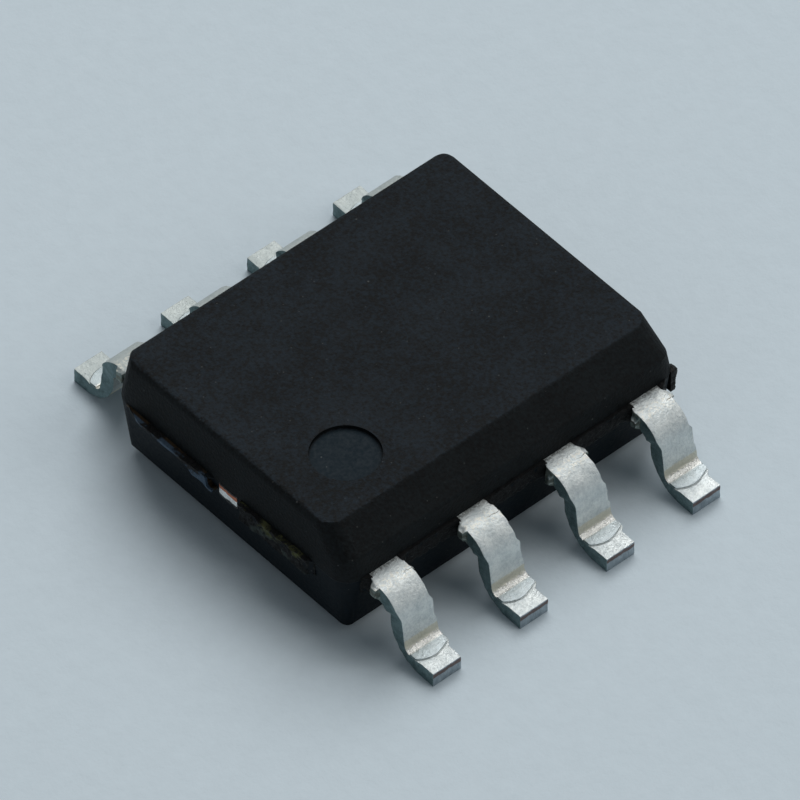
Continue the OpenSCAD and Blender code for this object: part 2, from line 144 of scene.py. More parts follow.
class ShaderBoard:
    """A material's node tree, with texture coordinates in millimetres."""

    def __init__(self, name: str) -> None:
        """Starts a material of that name with its shader and coordinates."""
        self.material = bpy.data.materials.new(name)
        self.material.use_nodes = True
        self.tree = self.material.node_tree
        self.tree.nodes.clear()
        self.shader = self.add("BsdfPrincipled")
        self.add("OutputMaterial", Surface=self.shader.outputs["BSDF"])
        source = self.add("TexCoord").outputs["Object"]
        self.place = self.add("Mapping", Scale=(1 / MM, 1 / MM, 1 / MM), Vector=source).outputs["Vector"]

    def add(self, kind: str, **values: Socket | float | Colour) -> bpy.types.Node:
        """Adds a node and fills its sockets.

        Args:
            kind: Blender's name for it, without its prefix.
            values: Links or constants, by the sockets' names with _ for a space.

        Returns:
            The node.
        """
        node = self.tree.nodes.new(f"ShaderNode{kind}")
        for name, value in values.items():
            self.fill(node.inputs[name.replace("_", " ")], value)
        return node

    def fill(self, socket: Socket, value: Socket | float | Colour) -> None:
        """Links a socket, or sets its constant."""
        if isinstance(value, Socket):
            self.tree.links.new(value, socket)
        else:
            is_colour = isinstance(value, tuple) and len(socket.default_value) == 4
            socket.default_value = (*value, 1.0) if is_colour else value

    def finish(self, **values: Socket | float) -> None:
        """Fills the shader's own sockets, whose names have _ for a space."""
        for name, value in values.items():
            self.fill(self.shader.inputs[name.replace("_", " ")], value)

    def stretched(self, x: float, y: float, z: float) -> Socket:
        """Gives the coordinates with each axis multiplied by its factor."""
        return self.add("Mapping", Scale=(x, y, z), Vector=self.place).outputs["Vector"]

    def noise(
        self, grain: float, detail: float = 2.0, roughness: float = 0.5, place: Socket | None = None
    ) -> Socket:
        """Adds cloudy noise.

        Args:
            grain: Size of its largest features, in millimetres.
            detail: Number of finer octaves.
            roughness: Strength of the finer octaves.
            place: Coordinates, or None for the plain ones.

        Returns:
            The noise, about 0.5 on average.
        """
        vector = place or self.place
        node = self.add("TexNoise", Scale=1 / grain, Detail=detail, Roughness=roughness, Vector=vector)
        return node.outputs["Fac"]

    def cells(self, grain: float) -> bpy.types.Node:
        """Adds scattered cells of that size in millimetres, and gives the node."""
        return self.add("TexVoronoi", Scale=1 / grain, Vector=self.place)

    def math(self, operation: str, first: Socket | float, second: Socket | float = 0.0) -> Socket:
        """Gives the result of an operation, by Blender's name for it."""
        node = self.add("Math")
        node.operation = operation
        self.fill(node.inputs[0], first)
        self.fill(node.inputs[1], second)
        return node.outputs["Value"]

    def times(self, first: Socket | float, second: Socket | float) -> Socket:
        """Gives a product."""
        return self.math("MULTIPLY", first, second)

    def plus(self, first: Socket | float, second: Socket | float) -> Socket:
        """Gives a sum."""
        return self.math("ADD", first, second)

    def minus(self, first: Socket | float, second: Socket | float) -> Socket:
        """Gives a difference."""
        return self.math("SUBTRACT", first, second)

    def off(self, value: Socket, middle: float) -> Socket:
        """Gives how far a value lies from a middle, to either side."""
        return self.math("ABSOLUTE", self.minus(value, middle))

    def stripe(self, value: Socket, middle: float, outer: float, inner: float) -> Socket:
        """Gives 1 within the inner distance from a middle and 0 beyond the outer one."""
        return self.band(self.off(value, middle), outer, inner)

    def mingle(self, first: Socket, second: Socket, share: float) -> Socket:
        """Adds two patterns, of which the first has that share."""
        return self.plus(self.times(first, share), self.times(second, round(1 - share, 6)))

    def wander(self, pattern: Socket, reach: float) -> Socket:
        """Turns a pattern into one that wanders round 0 over that reach."""
        return self.times(self.minus(pattern, 0.5), reach)

    def band(
        self, value: Socket, low: float, high: float, to_low: float = 0.0, to_high: float = 1.0
    ) -> Socket:
        """Maps low..high to to_low..to_high with soft ends.

        Args:
            value: What is mapped.
            low: Value that gives to_low.
            high: Value that gives to_high.
            to_low: Result at the low end and beyond.
            to_high: Result at the high end and beyond.

        Returns:
            The mapped value.
        """
        node = self.add("MapRange", Value=value, From_Min=low, From_Max=high, To_Min=to_low, To_Max=to_high)
        node.interpolation_type = "SMOOTHSTEP"
        return node.outputs["Result"]

    def ramp(self, value: Socket, stops: Stops) -> Socket:
        """Colours a value by a list of stops.

        Args:
            value: What picks the colour.
            stops: Two places from 0 to 1, each with its colour.

        Returns:
            The colour.
        """
        node = self.add("ValToRGB", Fac=value)
        for element, (position, colour) in zip(node.color_ramp.elements, stops):
            element.position = position
            element.color = (*colour, 1.0)
        return node.outputs["Color"]

    def blend(self, factor: Socket, first: Socket | Colour, second: Socket | Colour) -> Socket:
        """Mixes two colours.

        Args:
            factor: 0 for the first, 1 for the second.
            first: First colour.
            second: Second colour.

        Returns:
            The mixed colour.
        """
        node = self.add("Mix", Factor=factor)
        node.data_type = "RGBA"
        self.fill(node.inputs[6], first)
        self.fill(node.inputs[7], second)
        return node.outputs[2]

    def axes(self) -> tuple[Socket, Socket, Socket]:
        """Splits the coordinates into X, Y and Z in millimetres."""
        return tuple(self.add("SeparateXYZ", Vector=self.place).outputs)

    def facing(self, axis: Axis) -> Socket:
        """Gives how far a face looks along an axis, from -1 to 1."""
        normal = self.add("NewGeometry").outputs["Normal"]
        return self.add("SeparateXYZ", Vector=normal).outputs[axis.value]

    def relief(self, *layers: tuple[Socket, float]) -> None:
        """Raises the surface by some height layers.

        Args:
            layers: Each a height from 0 to 1, with its full height in millimetres.
        """
        before = None
        for height, depth in layers:
            bump = self.add("Bump", Distance=depth * MM, Height=height)
            if before is not None:
                self.fill(bump.inputs["Normal"], before)
            before = bump.outputs["Normal"]
        self.finish(Normal=before)


@dataclass(frozen=True)
class MouldCompound:
    """Black epoxy moulding compound with silica filler, as a spark-eroded mould leaves it.

    Args:
        parting_z: Height of the parting line; the lower half is glossier.
        dimple: Centre and radius of the dimple, whose floor a polished pin left smooth.
        dimple_floor: Height of the dimple's floor.
    """

    parting_z: float
    dimple: Place
    dimple_floor: float
    dark: Colour = linear(3, 5, 6)
    pale: Colour = linear(35, 43, 50)
    # Darker copies of the top's tones for the steep walls: painted shade.
    wall_shade_dark: Colour = linear(2, 3, 4)
    wall_shade_pale: Colour = linear(24, 29, 31)
    low_dark: Colour = linear(11, 17, 21)
    low_pale: Colour = linear(21, 29, 35)
    pin_mark: Colour = linear(18, 32, 40)
    filler: Colour = linear(190, 194, 188)

    def build(self) -> Material:
        """Returns the finished material."""
        board = ShaderBoard("mould_compound")
        x, y, z = board.axes()
        grain = board.noise(0.045, 3.0, 0.7)
        patches = board.noise(0.6, 2.0)
        tone = board.mingle(grain, patches, 0.8)
        # Faces that look up take the top's tones and steeper faces take the darker wall tones: painted shade
        # on the walls.
        mottled_and_wall_shade = board.blend(
            board.band(board.facing(Axis.Z), 0.80, 0.96),
            board.ramp(tone, [(0.40, self.wall_shade_dark), (0.62, self.wall_shade_pale)]),
            board.ramp(tone, [(0.40, self.dark), (0.62, self.pale)]),
        )
        lower = board.band(z, self.parting_z, self.parting_z - 0.03)
        halves = board.blend(lower, mottled_and_wall_shade, board.ramp(grain, [(0.3, self.low_dark), (0.7, self.low_pale)]))
        in_dimple = self._dimple_mask(board, x, y, z)
        with_pin = board.blend(in_dimple, halves, self.pin_mark)
        specks = self._filler_specks(board)
        board.finish(Base_Color=board.blend(specks, with_pin, self.filler))
        coarse = board.band(grain, 0.3, 0.75, 0.62, 0.82)
        smoother = board.times(lower, 0.16)
        board.finish(Roughness=board.minus(coarse, smoother))
        board.finish(Specular_IOR_Level=board.band(lower, 0.0, 1.0, 0.18, 0.09))
        calm = board.minus(1.0, board.times(board.math("MAXIMUM", lower, in_dimple), 0.75))
        pits = board.cells(0.040).outputs["Distance"]
        eroded = board.noise(0.03, 3.0, 0.75)
        board.relief((board.times(pits, calm), 0.005), (board.times(eroded, calm), 0.010))
        return board.material

    def _dimple_mask(self, board: ShaderBoard, x: Socket, y: Socket, z: Socket) -> Socket:
        """Gives 1 on the dimple's floor and 0 elsewhere.

        Args:
            board: The material's board.
            x: X of the surface.
            y: Y of the surface.
            z: Z of the surface.

        Returns:
            The mask.
        """
        centre_x, centre_y, radius = self.dimple
        across = board.math("POWER", board.minus(x, centre_x), 2.0)
        along = board.math("POWER", board.minus(y, centre_y), 2.0)
        distance = board.math("SQRT", board.plus(across, along))
        inside = board.band(distance, radius, radius - 0.03)
        on_floor = board.band(z, self.dimple_floor + 0.02, self.dimple_floor + 0.01)
        above = board.band(z, self.dimple_floor - 0.2, self.dimple_floor - 0.1)
        return board.times(board.times(inside, on_floor), above)

    def _filler_specks(self, board: ShaderBoard) -> Socket:
        """Gives the scattered bright silica grains that lie open in the surface.

        Args:
            board: The material's board.

        Returns:
            A mask that is 1 on a grain.
        """
        total: Socket | None = None
        for spacing, size, share, strength in ((0.13, 0.11, 0.95, 0.14), (0.06, 0.17, 0.90, 0.10)):
            node = board.cells(spacing)
            split = board.add("SeparateColor", Color=node.outputs["Color"])
            picked = board.band(split.outputs["Red"], share, share + 0.04)
            spot = board.band(node.outputs["Distance"], size, size * 0.5)
            mask = board.times(board.times(picked, spot), strength)
            total = mask if total is None else board.math("MAXIMUM", total, mask)
        return total


@dataclass(frozen=True)
class BrokenResin:
    """Resin where flash, gate and dam-bar webs broke off: dark, with paler patches and a few crumbs; on the
    gate and the flash, the paler patches are painted highlights.

    Args:
        name: Name of the material.
        start: Where the patches have the first colour.
        end: Where they have the second.
        first: First colour of the patches.
        second: Second colour of the patches.
        axis: Axis that start and end lie on, from the middle of the body to either side if it is not Z.
        patch: Size of the patches, in millimetres.
        share: Share of the surface that stays dark.
    """

    name: str
    start: float
    end: float
    first: Colour
    second: Colour
    axis: Axis = Axis.Z
    patch: float = 0.12
    share: float = 0.5
    dark: Colour = linear(9, 10, 11)

    def build(self) -> Material:
        """Returns the finished material."""
        board = ShaderBoard(self.name)
        way = board.axes()["XYZ".index(self.axis.value)]
        if self.axis is not Axis.Z:
            way = board.math("ABSOLUTE", way)
        patches = board.noise(self.patch, 2.0, 0.55, board.stretched(0.7, 0.7, 1.6))
        crumbs = board.noise(0.035, 3.0, 0.6)
        tone = board.mingle(patches, crumbs, 0.7)
        tint = board.blend(board.band(way, self.start, self.end), self.first, self.second)
        board.finish(Base_Color=board.blend(board.band(tone, self.share, self.share + 0.11), self.dark, tint))
        board.finish(Roughness=board.band(crumbs, 0.3, 0.7, 0.5, 0.8))
        board.finish(Specular_IOR_Level=0.25)
        board.relief((crumbs, 0.018), (patches, 0.02))
        return board.material


@dataclass(frozen=True)
class TinPlate:
    """Matte tin plating over a formed lead, with a beige band above the heel, partly tarnish and partly
    painted reflection, and a painted highlight in the heel below it.

    Args:
        dam_u: Distance from the middle of the body to the dam bar's outer edge.
        body_u: Distance from the middle of the body to its side.
        pitch: Distance between the leads of a row.
        heel_u: Distance from the middle of the body to the heel bend's centre.
        heel_z: Height of the heel bend's centre.
        foot_z: Height of the foot's upper face.
    """

    dam_u: float
    body_u: float
    pitch: float
    heel_u: float
    heel_z: float
    foot_z: float
    bright: Colour = linear(232, 236, 234)
    grey: Colour = linear(200, 207, 208)
    # Painted highlight: bright sparkle on the shoulder beside the dam bar.
    sparkle_highlight: Colour = linear(244, 239, 226)
    # Painted shade: the darker tone of the back row.
    back_row_shade: Colour = linear(176, 184, 180)
    # Darker tone, in patches, on the lead just beside the body.
    near_body_dark: Colour = linear(96, 92, 84)
    # Beige band above the heel: partly tarnish of the formed plating, partly painted reflection.
    thin: Colour = linear(216, 212, 194)
    # Painted highlight: the bright band in the heel bend.
    heel_highlight: Colour = linear(252, 250, 244)
    pressed: Colour = linear(206, 217, 220)
    crack: Colour = linear(92, 84, 66)
    # Painted shade: darker grey-green for the faces that look sideways.
    side_shade_dark: Colour = linear(82, 104, 106)
    side_shade_pale: Colour = linear(126, 148, 150)

    def build(self) -> Material:
        """Returns the finished material."""
        board = ShaderBoard("tin_plate")
        x, y, z = board.axes()
        out = board.math("ABSOLUTE", y)
        crystals = board.noise(0.034, 3.0, 0.7)
        clouds = board.noise(0.14, 2.0)
        streaks = board.noise(0.05, 3.0, 0.6, board.stretched(1.0, 0.12, 0.12))
        tone = board.mingle(crystals, clouds, 0.5)
        plate = board.ramp(tone, [(0.36, self.grey), (0.6, self.bright)])
        # Painted highlight: scattered bright sparkle on the plating beside the dam bar.
        speckle = board.band(board.noise(0.05, 3.0, 0.8), 0.48, 0.60)
        sparkle_at_dam = board.times(board.stripe(out, self.dam_u + 0.01, 0.14, 0.03), speckle)
        # Painted shade: the back row, on the far side of the body, blends towards a darker tone.
        behind = board.band(y, 0.0, self.body_u, 0.0, 0.6)
        with_sparkle = board.blend(board.times(sparkle_at_dam, 0.7), board.blend(behind, plate, self.back_row_shade), self.sparkle_highlight)
        # The lead turns darker in patches just beside the body.
        beside_body = board.band(out, self.body_u + 0.07, self.body_u + 0.02)
        at_body = board.times(beside_body, board.band(crystals, 0.56, 0.46))
        darker_near_body = board.blend(board.times(at_body, 0.6), with_sparkle, self.near_body_dark)
        # Beige band above the heel, partly tarnish and partly painted reflection.
        wavy = board.plus(z, board.wander(crystals, 0.06))
        above_heel = board.stripe(wavy, self.heel_z - 0.010, 0.066, 0.036)
        # Painted highlight: a bright band in the heel bend, just below the beige band. The same mask also
        # lowers the roughness there.
        below_it = board.band(wavy, self.heel_z - 0.02, self.heel_z - 0.06)
        in_heel = board.times(board.stripe(out, self.heel_u - 0.05, 0.055, 0.030), below_it)
        raised = board.band(z, self.foot_z + 0.007, self.foot_z + 0.013)
        past_heel = board.plus(out, board.times(crystals, 0.06))
        on_tongue = board.times(raised, board.band(past_heel, self.heel_u, self.heel_u + 0.05))
        coined = board.blend(board.times(on_tongue, 0.7), darker_near_body, self.pressed)
        with_heel_highlight = board.blend(board.times(in_heel, 0.85), coined, self.heel_highlight)
        with_heel_band = board.blend(board.times(above_heel, 0.8), with_heel_highlight, self.thin)
        cracked = board.blend(self._crack(board, x, out, z), with_heel_band, self.crack)
        # Painted shade: faces that look sideways take a darker grey-green tone.
        sideways = board.band(board.math("ABSOLUTE", board.facing(Axis.X)), 0.55, 0.85)
        shaded_flank = board.ramp(tone, [(0.33, self.side_shade_dark), (0.6, self.side_shade_pale)])
        board.finish(Base_Color=board.blend(sideways, cracked, shaded_flank))
        foot = board.band(z, self.foot_z + 0.06, self.foot_z + 0.03)
        gloss = board.band(streaks, 0.3, 0.7, 0.43, 0.56)
        duller = board.plus(gloss, board.band(y, 0.0, self.body_u, 0.0, 0.15))
        polished = board.minus(duller, board.times(in_heel, 0.16))
        board.finish(Roughness=board.minus(polished, board.times(foot, 0.09)))
        board.finish(Metallic=0.7)
        scratches = board.noise(0.02, 2.0, 0.6, board.stretched(0.35, 1.0, 1.0))
        board.relief((crystals, 0.013), (streaks, 0.003), (scratches, 0.002))
        return board.material

    def _crack(self, board: ShaderBoard, x: Socket, out: Socket, z: Socket) -> Socket:
        """Gives the short line where the plating cracked beside the right stub.

        Args:
            board: The material's board.
            x: Place along the row.
            out: Distance from the middle of the body.
            z: Height.

        Returns:
            A mask that is 1 in the crack.
        """
        wander = board.wander(board.noise(0.09, 3.0, 0.7), 0.09)
        line = board.minus(board.plus(out, wander), self.dam_u + 0.01)
        thin_line = board.band(board.math("ABSOLUTE", line), 0.006, 0.002)
        on_top = board.band(z, self.heel_z + 0.45, self.heel_z + 0.5)
        in_pitch = board.math("FLOORED_MODULO", board.plus(x, self.pitch), self.pitch)
        ragged = board.wander(board.noise(0.3, 1.0), 0.5)
        from_middle = board.minus(board.plus(in_pitch, ragged), self.pitch / 2)
        beside = board.band(from_middle, 0.05, 0.09)
        return board.times(board.times(thin_line, on_top), beside)


@dataclass(frozen=True)
class ShearedMetal:
    """Metal laid bare by a cut: a copper band where it tore, and smeared plating beside it; on the toe, the
    bluish grey of the plain metal is partly painted reflection of a blue ground.

    Args:
        name: Name of the material.
        torn_z: Height of the middle of the torn copper band.
        torn_half: Half the height of the band.
        bare_low: Height below which resin smears over the metal.
        bare_high: Height above which it does.
    """

    name: str
    torn_z: float
    torn_half: float
    bare_low: float = -1.0
    bare_high: float = 10.0
    copper: Colour = linear(104, 78, 70)
    # These default tones, which only the toe uses, are bluish grey: partly smeared plating, partly painted
    # reflection of a blue ground.
    dull: Colour = linear(138, 150, 158)
    smear: Colour = linear(176, 186, 192)
    resin: Colour = linear(15, 17, 18)
    torn_share: float = 0.85

    def build(self) -> Material:
        """Returns the finished material."""
        board = ShaderBoard(self.name)
        _, _, z = board.axes()
        drag = board.noise(0.06, 3.0, 0.65, board.stretched(1.0, 1.0, 0.35))
        fine = board.noise(0.02, 2.0)
        tone = board.mingle(drag, fine, 0.7)
        plain = board.ramp(tone, [(0.34, self.dull), (0.62, self.smear)])
        wander = board.wander(board.noise(0.1, 3.0, 0.6), 0.05)
        off = board.math("ABSOLUTE", board.minus(board.plus(z, wander), self.torn_z))
        torn = board.times(board.band(off, self.torn_half + 0.012, self.torn_half), self.torn_share)
        metal = board.blend(torn, plain, self.copper)
        level = board.plus(z, board.times(wander, 0.8))
        above = board.band(level, self.bare_high - 0.006, self.bare_high + 0.006)
        below = board.band(level, self.bare_low + 0.006, self.bare_low - 0.006)
        covered = board.math("MAXIMUM", above, below)
        board.finish(Base_Color=board.blend(covered, metal, self.resin))
        board.finish(Roughness=board.band(fine, 0.3, 0.7, 0.42, 0.62))
        board.finish(Metallic=board.band(covered, 0.0, 1.0, 0.85, 0.0))
        board.relief((drag, 0.010), (fine, 0.005))
        return board.material


@dataclass(frozen=True)
class LeadFrameCopper:
    """Rolled copper alloy, a little tarnished, with the silver-plated middle of the paddle."""

    silver_z: float
    copper: Colour = linear(196, 124, 84)
    tarnish: Colour = linear(150, 88, 58)
    silver: Colour = linear(205, 205, 200)

    def build(self) -> Material:
        """Returns the finished material."""
        board = ShaderBoard("copper_frame")
        _, _, z = board.axes()
        rolling = board.noise(0.06, 3.0, 0.6, board.stretched(0.1, 1.0, 1.0))
        stains = board.noise(0.3, 3.0)
        metal = board.ramp(stains, [(0.35, self.tarnish), (0.62, self.copper)])
        plated = board.times(board.band(z, self.silver_z - 0.004, self.silver_z - 0.001), 0.8)
        board.finish(Base_Color=board.blend(plated, metal, self.silver))
        board.finish(Roughness=board.band(rolling, 0.3, 0.7, 0.28, 0.44))
        board.finish(Metallic=1.0)
        board.relief((rolling, 0.004))
        return board.material


@dataclass(frozen=True)
class SilverEpoxy:
    """Cured die-attach epoxy, full of silver flakes."""

    flake: Colour = linear(198, 196, 188)
    resin: Colour = linear(120, 116, 106)

    def build(self) -> Material:
        """Returns the finished material."""
        board = ShaderBoard("silver_epoxy")
        flakes = board.cells(0.012)
        fine = board.noise(0.02, 3.0, 0.6)
        board.finish(Base_Color=board.ramp(flakes.outputs["Distance"], [(0.2, self.flake), (0.7, self.resin)]))
        board.finish(Roughness=board.band(fine, 0.3, 0.7, 0.35, 0.6))
        board.finish(Metallic=0.6)
        board.relief((flakes.outputs["Distance"], 0.003), (fine, 0.004))
        return board.material


@dataclass(frozen=True)
class PatternedSilicon:
    """Silicon with its circuit blocks on top and aluminium bond pads."""

    top_z: float
    substrate: Colour = linear(74, 78, 88)
    blocks: Colour = linear(112, 96, 120)
    tracks: Colour = linear(158, 150, 128)
    aluminium: Colour = linear(206, 208, 210)

    def build(self) -> Material:
        """Returns the finished material."""
        board = ShaderBoard("silicon")
        _, _, z = board.axes()
        floorplan = board.add(
            "TexBrick",
            Vector=board.place,
            Scale=4.2,
            Mortar_Size=0.012,
            Color1=self.blocks,
            Color2=self.substrate,
            Mortar=self.tracks,
        )
        floorplan.offset = 0.37
        cells = board.noise(0.03, 2.0, 0.5, board.stretched(1.0, 0.25, 1.0))
        shaded = board.blend(board.band(cells, 0.45, 0.6, 0.0, 0.4), floorplan.outputs["Color"], self.tracks)
        on_top = board.band(z, self.top_z - 0.003, self.top_z - 0.001)
        with_top = board.blend(on_top, self.substrate, shaded)
        on_pads = board.band(z, self.top_z + 0.0015, self.top_z + 0.0025)
        board.finish(Base_Color=board.blend(on_pads, with_top, self.aluminium))
        board.finish(Roughness=board.band(cells, 0.3, 0.7, 0.16, 0.3))
        board.finish(Metallic=board.plus(board.times(on_pads, 0.6), 0.35))
        board.relief((floorplan.outputs["Fac"], 0.001), (cells, 0.0008))
        return board.material


@dataclass(frozen=True)
class GoldWire:
    """Drawn gold bonding wire."""

    gold: Colour = linear(232, 182, 92)
    shade: Colour = linear(206, 150, 66)

    def build(self) -> Material:
        """Returns the finished material."""
        board = ShaderBoard("gold_wire")
        drawn = board.noise(0.01, 2.0)
        board.finish(Base_Color=board.ramp(drawn, [(0.35, self.shade), (0.65, self.gold)]))
        board.finish(Roughness=board.band(drawn, 0.3, 0.7, 0.18, 0.3))
        board.finish(Metallic=1.0)
        board.relief((drawn, 0.0006))
        return board.material


@dataclass(frozen=True)
class PaleCard:
    """Pale matt card under the chip, with a faint tooth."""

    tint: Colour = linear(222, 234, 241)
    shade: Colour = linear(219, 231, 238)

    def build(self) -> Material:
        """Returns the finished material."""
        board = ShaderBoard("pale_card")
        tooth = board.noise(0.25, 4.0, 0.6)
        board.finish(Base_Color=board.ramp(tooth, [(0.35, self.shade), (0.65, self.tint)]))
        board.finish(Roughness=board.band(tooth, 0.3, 0.7, 0.75, 0.9))
        board.finish(Specular_IOR_Level=0.2)
        board.relief((tooth, 0.01))
        return board.material


# ---------------------------------------------------------------- the bench


class Workpiece:
    """A mesh on the bench, modelled in millimetres in the chip's own frame."""

    def __init__(self, obj: bpy.types.Object) -> None:
        """Takes a mesh object whose mesh is in millimetres."""
        self.obj = obj

    @classmethod
    def from_node(cls, node: str, name: str) -> "Workpiece":
        """Copies a CAD node's mesh, merges its loose triangles and brings it to millimetres.

        Args:
            node: Name of the CAD node.
            name: Name of the new piece.

        Returns:
            The new piece.
        """
        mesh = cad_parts[node].data.copy()
        mesh.materials.clear()
        obj = bpy.data.objects.new(name, mesh)
        bpy.context.scene.collection.objects.link(obj)
        piece = cls(obj)
        piece.scale_mesh(1 / MM)
        with piece.editing():
            bpy.ops.mesh.select_all(action="SELECT")
            bpy.ops.mesh.remove_doubles(threshold=0.00005)
            bpy.ops.mesh.customdata_custom_splitnormals_clear()
            bpy.ops.mesh.dissolve_limited(angle_limit=math.radians(0.3))
        return piece

    @classmethod
    def upright_section(
        cls, name: str, columns: int, rows: int, width: float, height: float, centre: Place
    ) -> "Workpiece":
        """Adds a flat section that faces along Y, ready to be drawn out.

        Args:
            name: Name of the piece.
            columns: Faces across.
            rows: Faces up.
            width: Size along X.
            height: Size along Z.
            centre: Middle of the section.

        Returns:
            The new piece.
        """
        bpy.ops.mesh.primitive_grid_add(
            x_subdivisions=columns, y_subdivisions=rows, size=1.0, rotation=(math.pi / 2, 0.0, 0.0)
        )
        piece = cls.adopt(name)
        with piece.editing():
            bpy.ops.mesh.select_all(action="SELECT")
            bpy.ops.transform.resize(value=(width, 1.0, height), center_override=(0.0, 0.0, 0.0))
            bpy.ops.transform.translate(value=centre)
        return piece

    @classmethod
    def bar(cls, name: str, low: Place, high: Place, cuts: tuple[int, int, int]) -> "Workpiece":
        """Adds a bar between two corners, cut into small faces.

        Args:
            name: Name of the piece.
            low: Lowest corner.
            high: Highest corner.
            cuts: Number of cuts across X, Y and Z.

        Returns:
            The new piece.
        """
        bpy.ops.mesh.primitive_cube_add(size=1.0)
        piece = cls.adopt(name)
        size = Vector(high) - Vector(low)
        with piece.editing():
            bpy.ops.mesh.select_all(action="SELECT")
            bpy.ops.transform.resize(value=size, center_override=(0.0, 0.0, 0.0))
            bpy.ops.transform.translate(value=(Vector(high) + Vector(low)) / 2)
            for axis, count in enumerate(cuts):
                if count:
                    piece.pick_edges(lambda _, way, axis=axis: abs(way[axis]) > 0.99)
                    bpy.ops.mesh.subdivide(number_cuts=count)
        return piece

    @classmethod
    def disc(
        cls, name: str, radius: float, low: float, high: float, centre: tuple[float, float]
    ) -> "Workpiece":
        """Adds an upright cylinder.

        Args:
            name: Name of the piece.
            radius: Its radius.
            low: Height of its lower face.
            high: Height of its upper face.
            centre: X and Y of its axis.

        Returns:
            The new piece.
        """
        bpy.ops.mesh.primitive_cylinder_add(
            vertices=96, radius=radius, depth=high - low, location=(*centre, (low + high) / 2)
        )
        return cls.adopt(name)

    @classmethod
    def adopt(cls, name: str) -> "Workpiece":
        """Names the primitive that was just added, and brings its place into its mesh."""
        obj = bpy.context.object
        obj.name = name
        obj.data.name = name
        bpy.ops.object.select_all(action="DESELECT")
        obj.select_set(True)
        bpy.ops.object.transform_apply(location=True, rotation=True, scale=True)
        return cls(obj)

    def copy(self, name: str) -> "Workpiece":
        """Gives a copy of the piece with a mesh of its own."""
        obj = self.obj.copy()
        obj.data = self.obj.data.copy()
        obj.name = name
        obj.data.name = name
        bpy.context.scene.collection.objects.link(obj)
        return Workpiece(obj)

    def focus(self) -> None:
        """Makes the piece the only selected and active one."""
        bpy.ops.object.select_all(action="DESELECT")
        self.obj.select_set(True)
        bpy.context.view_layer.objects.active = self.obj

    @contextmanager
    def editing(self) -> Iterator[None]:
        """Opens the piece in edit mode with nothing selected."""
        self.focus()
        bpy.ops.object.mode_set(mode="EDIT")
        bpy.ops.mesh.select_all(action="DESELECT")
        yield
        bpy.ops.object.mode_set(mode="OBJECT")

    def pick_faces(self, test: FaceTest) -> None:
        """Selects the faces whose centre and normal pass a test."""
        mesh = self._start_picking("FACE")
        for face in [face for face in mesh.faces if test(face.calc_center_median(), face.normal)]:
            face.select_set(True)
        bmesh.update_edit_mesh(self.obj.data)

    def pick_edges(self, test: FaceTest) -> None:
        """Selects the edges whose middle and direction pass a test."""
        mesh = self._start_picking("EDGE")
        ends = [(edge, *(vertex.co for vertex in edge.verts)) for edge in mesh.edges]
        for edge in [edge for edge, start, end in ends if test((start + end) / 2, (end - start).normalized())]:
            edge.select_set(True)
        bmesh.update_edit_mesh(self.obj.data)

    def pick_sharp(self) -> None:
        """Selects the edges that turn by more than 50 degrees."""
        self._start_picking("EDGE")
        bpy.ops.mesh.edges_select_sharp(sharpness=math.radians(50))

    def _start_picking(self, kind: str) -> bmesh.types.BMesh:
        """Deselects everything, sets what is picked, and gives the mesh in edit mode."""
        bpy.ops.mesh.select_mode(type=kind)
        bpy.ops.mesh.select_all(action="DESELECT")
        return bmesh.from_edit_mesh(self.obj.data)

    def cut_off(self, at: Place | Vector, way: Place | Vector) -> None:
        """Cuts the whole piece at a plane, removes what lies beyond it and closes the cut."""
        bpy.ops.mesh.select_all(action="SELECT")
        bpy.ops.mesh.bisect(plane_co=at, plane_no=way, use_fill=True, clear_outer=True)

    def give_slot(self, slot: int, test: FaceTest) -> None:
        """Gives the faces that pass a test the finish in that slot."""
        with self.editing():
            self.pick_faces(test)
            self.obj.active_material_index = slot
            bpy.ops.object.material_slot_assign()

    def widest_plane(self, test: FaceTest) -> Plane:
        """Gives the middle and the normal of the largest face that passes a test.

        Args:
            test: Says whether a face with this centre and normal counts.

        Returns:
            A point in the face's plane, and its normal.
        """
        mesh = bmesh.from_edit_mesh(self.obj.data)
        faces = [face for face in mesh.faces if test(face.calc_center_median(), face.normal)]
        widest = max(faces, key=lambda face: face.calc_area())
        return widest.calc_center_median(), widest.normal.copy()

    def draw_out(self, step: Vector, steps: int) -> None:
        """Extrudes what is selected by a number of equal steps."""
        for _ in range(steps):
            bpy.ops.mesh.extrude_region_move(TRANSFORM_OT_translate={"value": step / steps})

    def weigh(self, group: str, weight: Callable[[Vector], float]) -> None:
        """Gives each vertex a weight in a group, by its place.

        Args:
            group: Name of the vertex group.
            weight: Weight of a vertex at this place.
        """
        target = self.obj.vertex_groups.new(name=group)
        for vertex in self.obj.data.vertices:
            value = weight(vertex.co)
            if value > 0:
                target.add([vertex.index], value, "REPLACE")

    def modify(self, kind: str, **settings: object) -> None:
        """Adds a modifier with these settings and applies it.

        Args:
            kind: Blender's name for it.
            settings: Values of its properties.
        """
        self.focus()
        bpy.ops.object.modifier_add(type=kind)
        modifier = self.obj.modifiers[-1]
        for name, value in settings.items():
            setattr(modifier, name, value)
        bpy.ops.object.modifier_apply(modifier=modifier.name)

    def push(self, group: str, distance: float, along: Axis) -> None:
        """Moves a weighted group along an axis.

        Args:
            group: Name of the vertex group.
            distance: How far a vertex of weight 1 goes.
            along: Direction.
        """
        self.modify("DISPLACE", vertex_group=group, direction=along.value, mid_level=0.0, strength=distance)

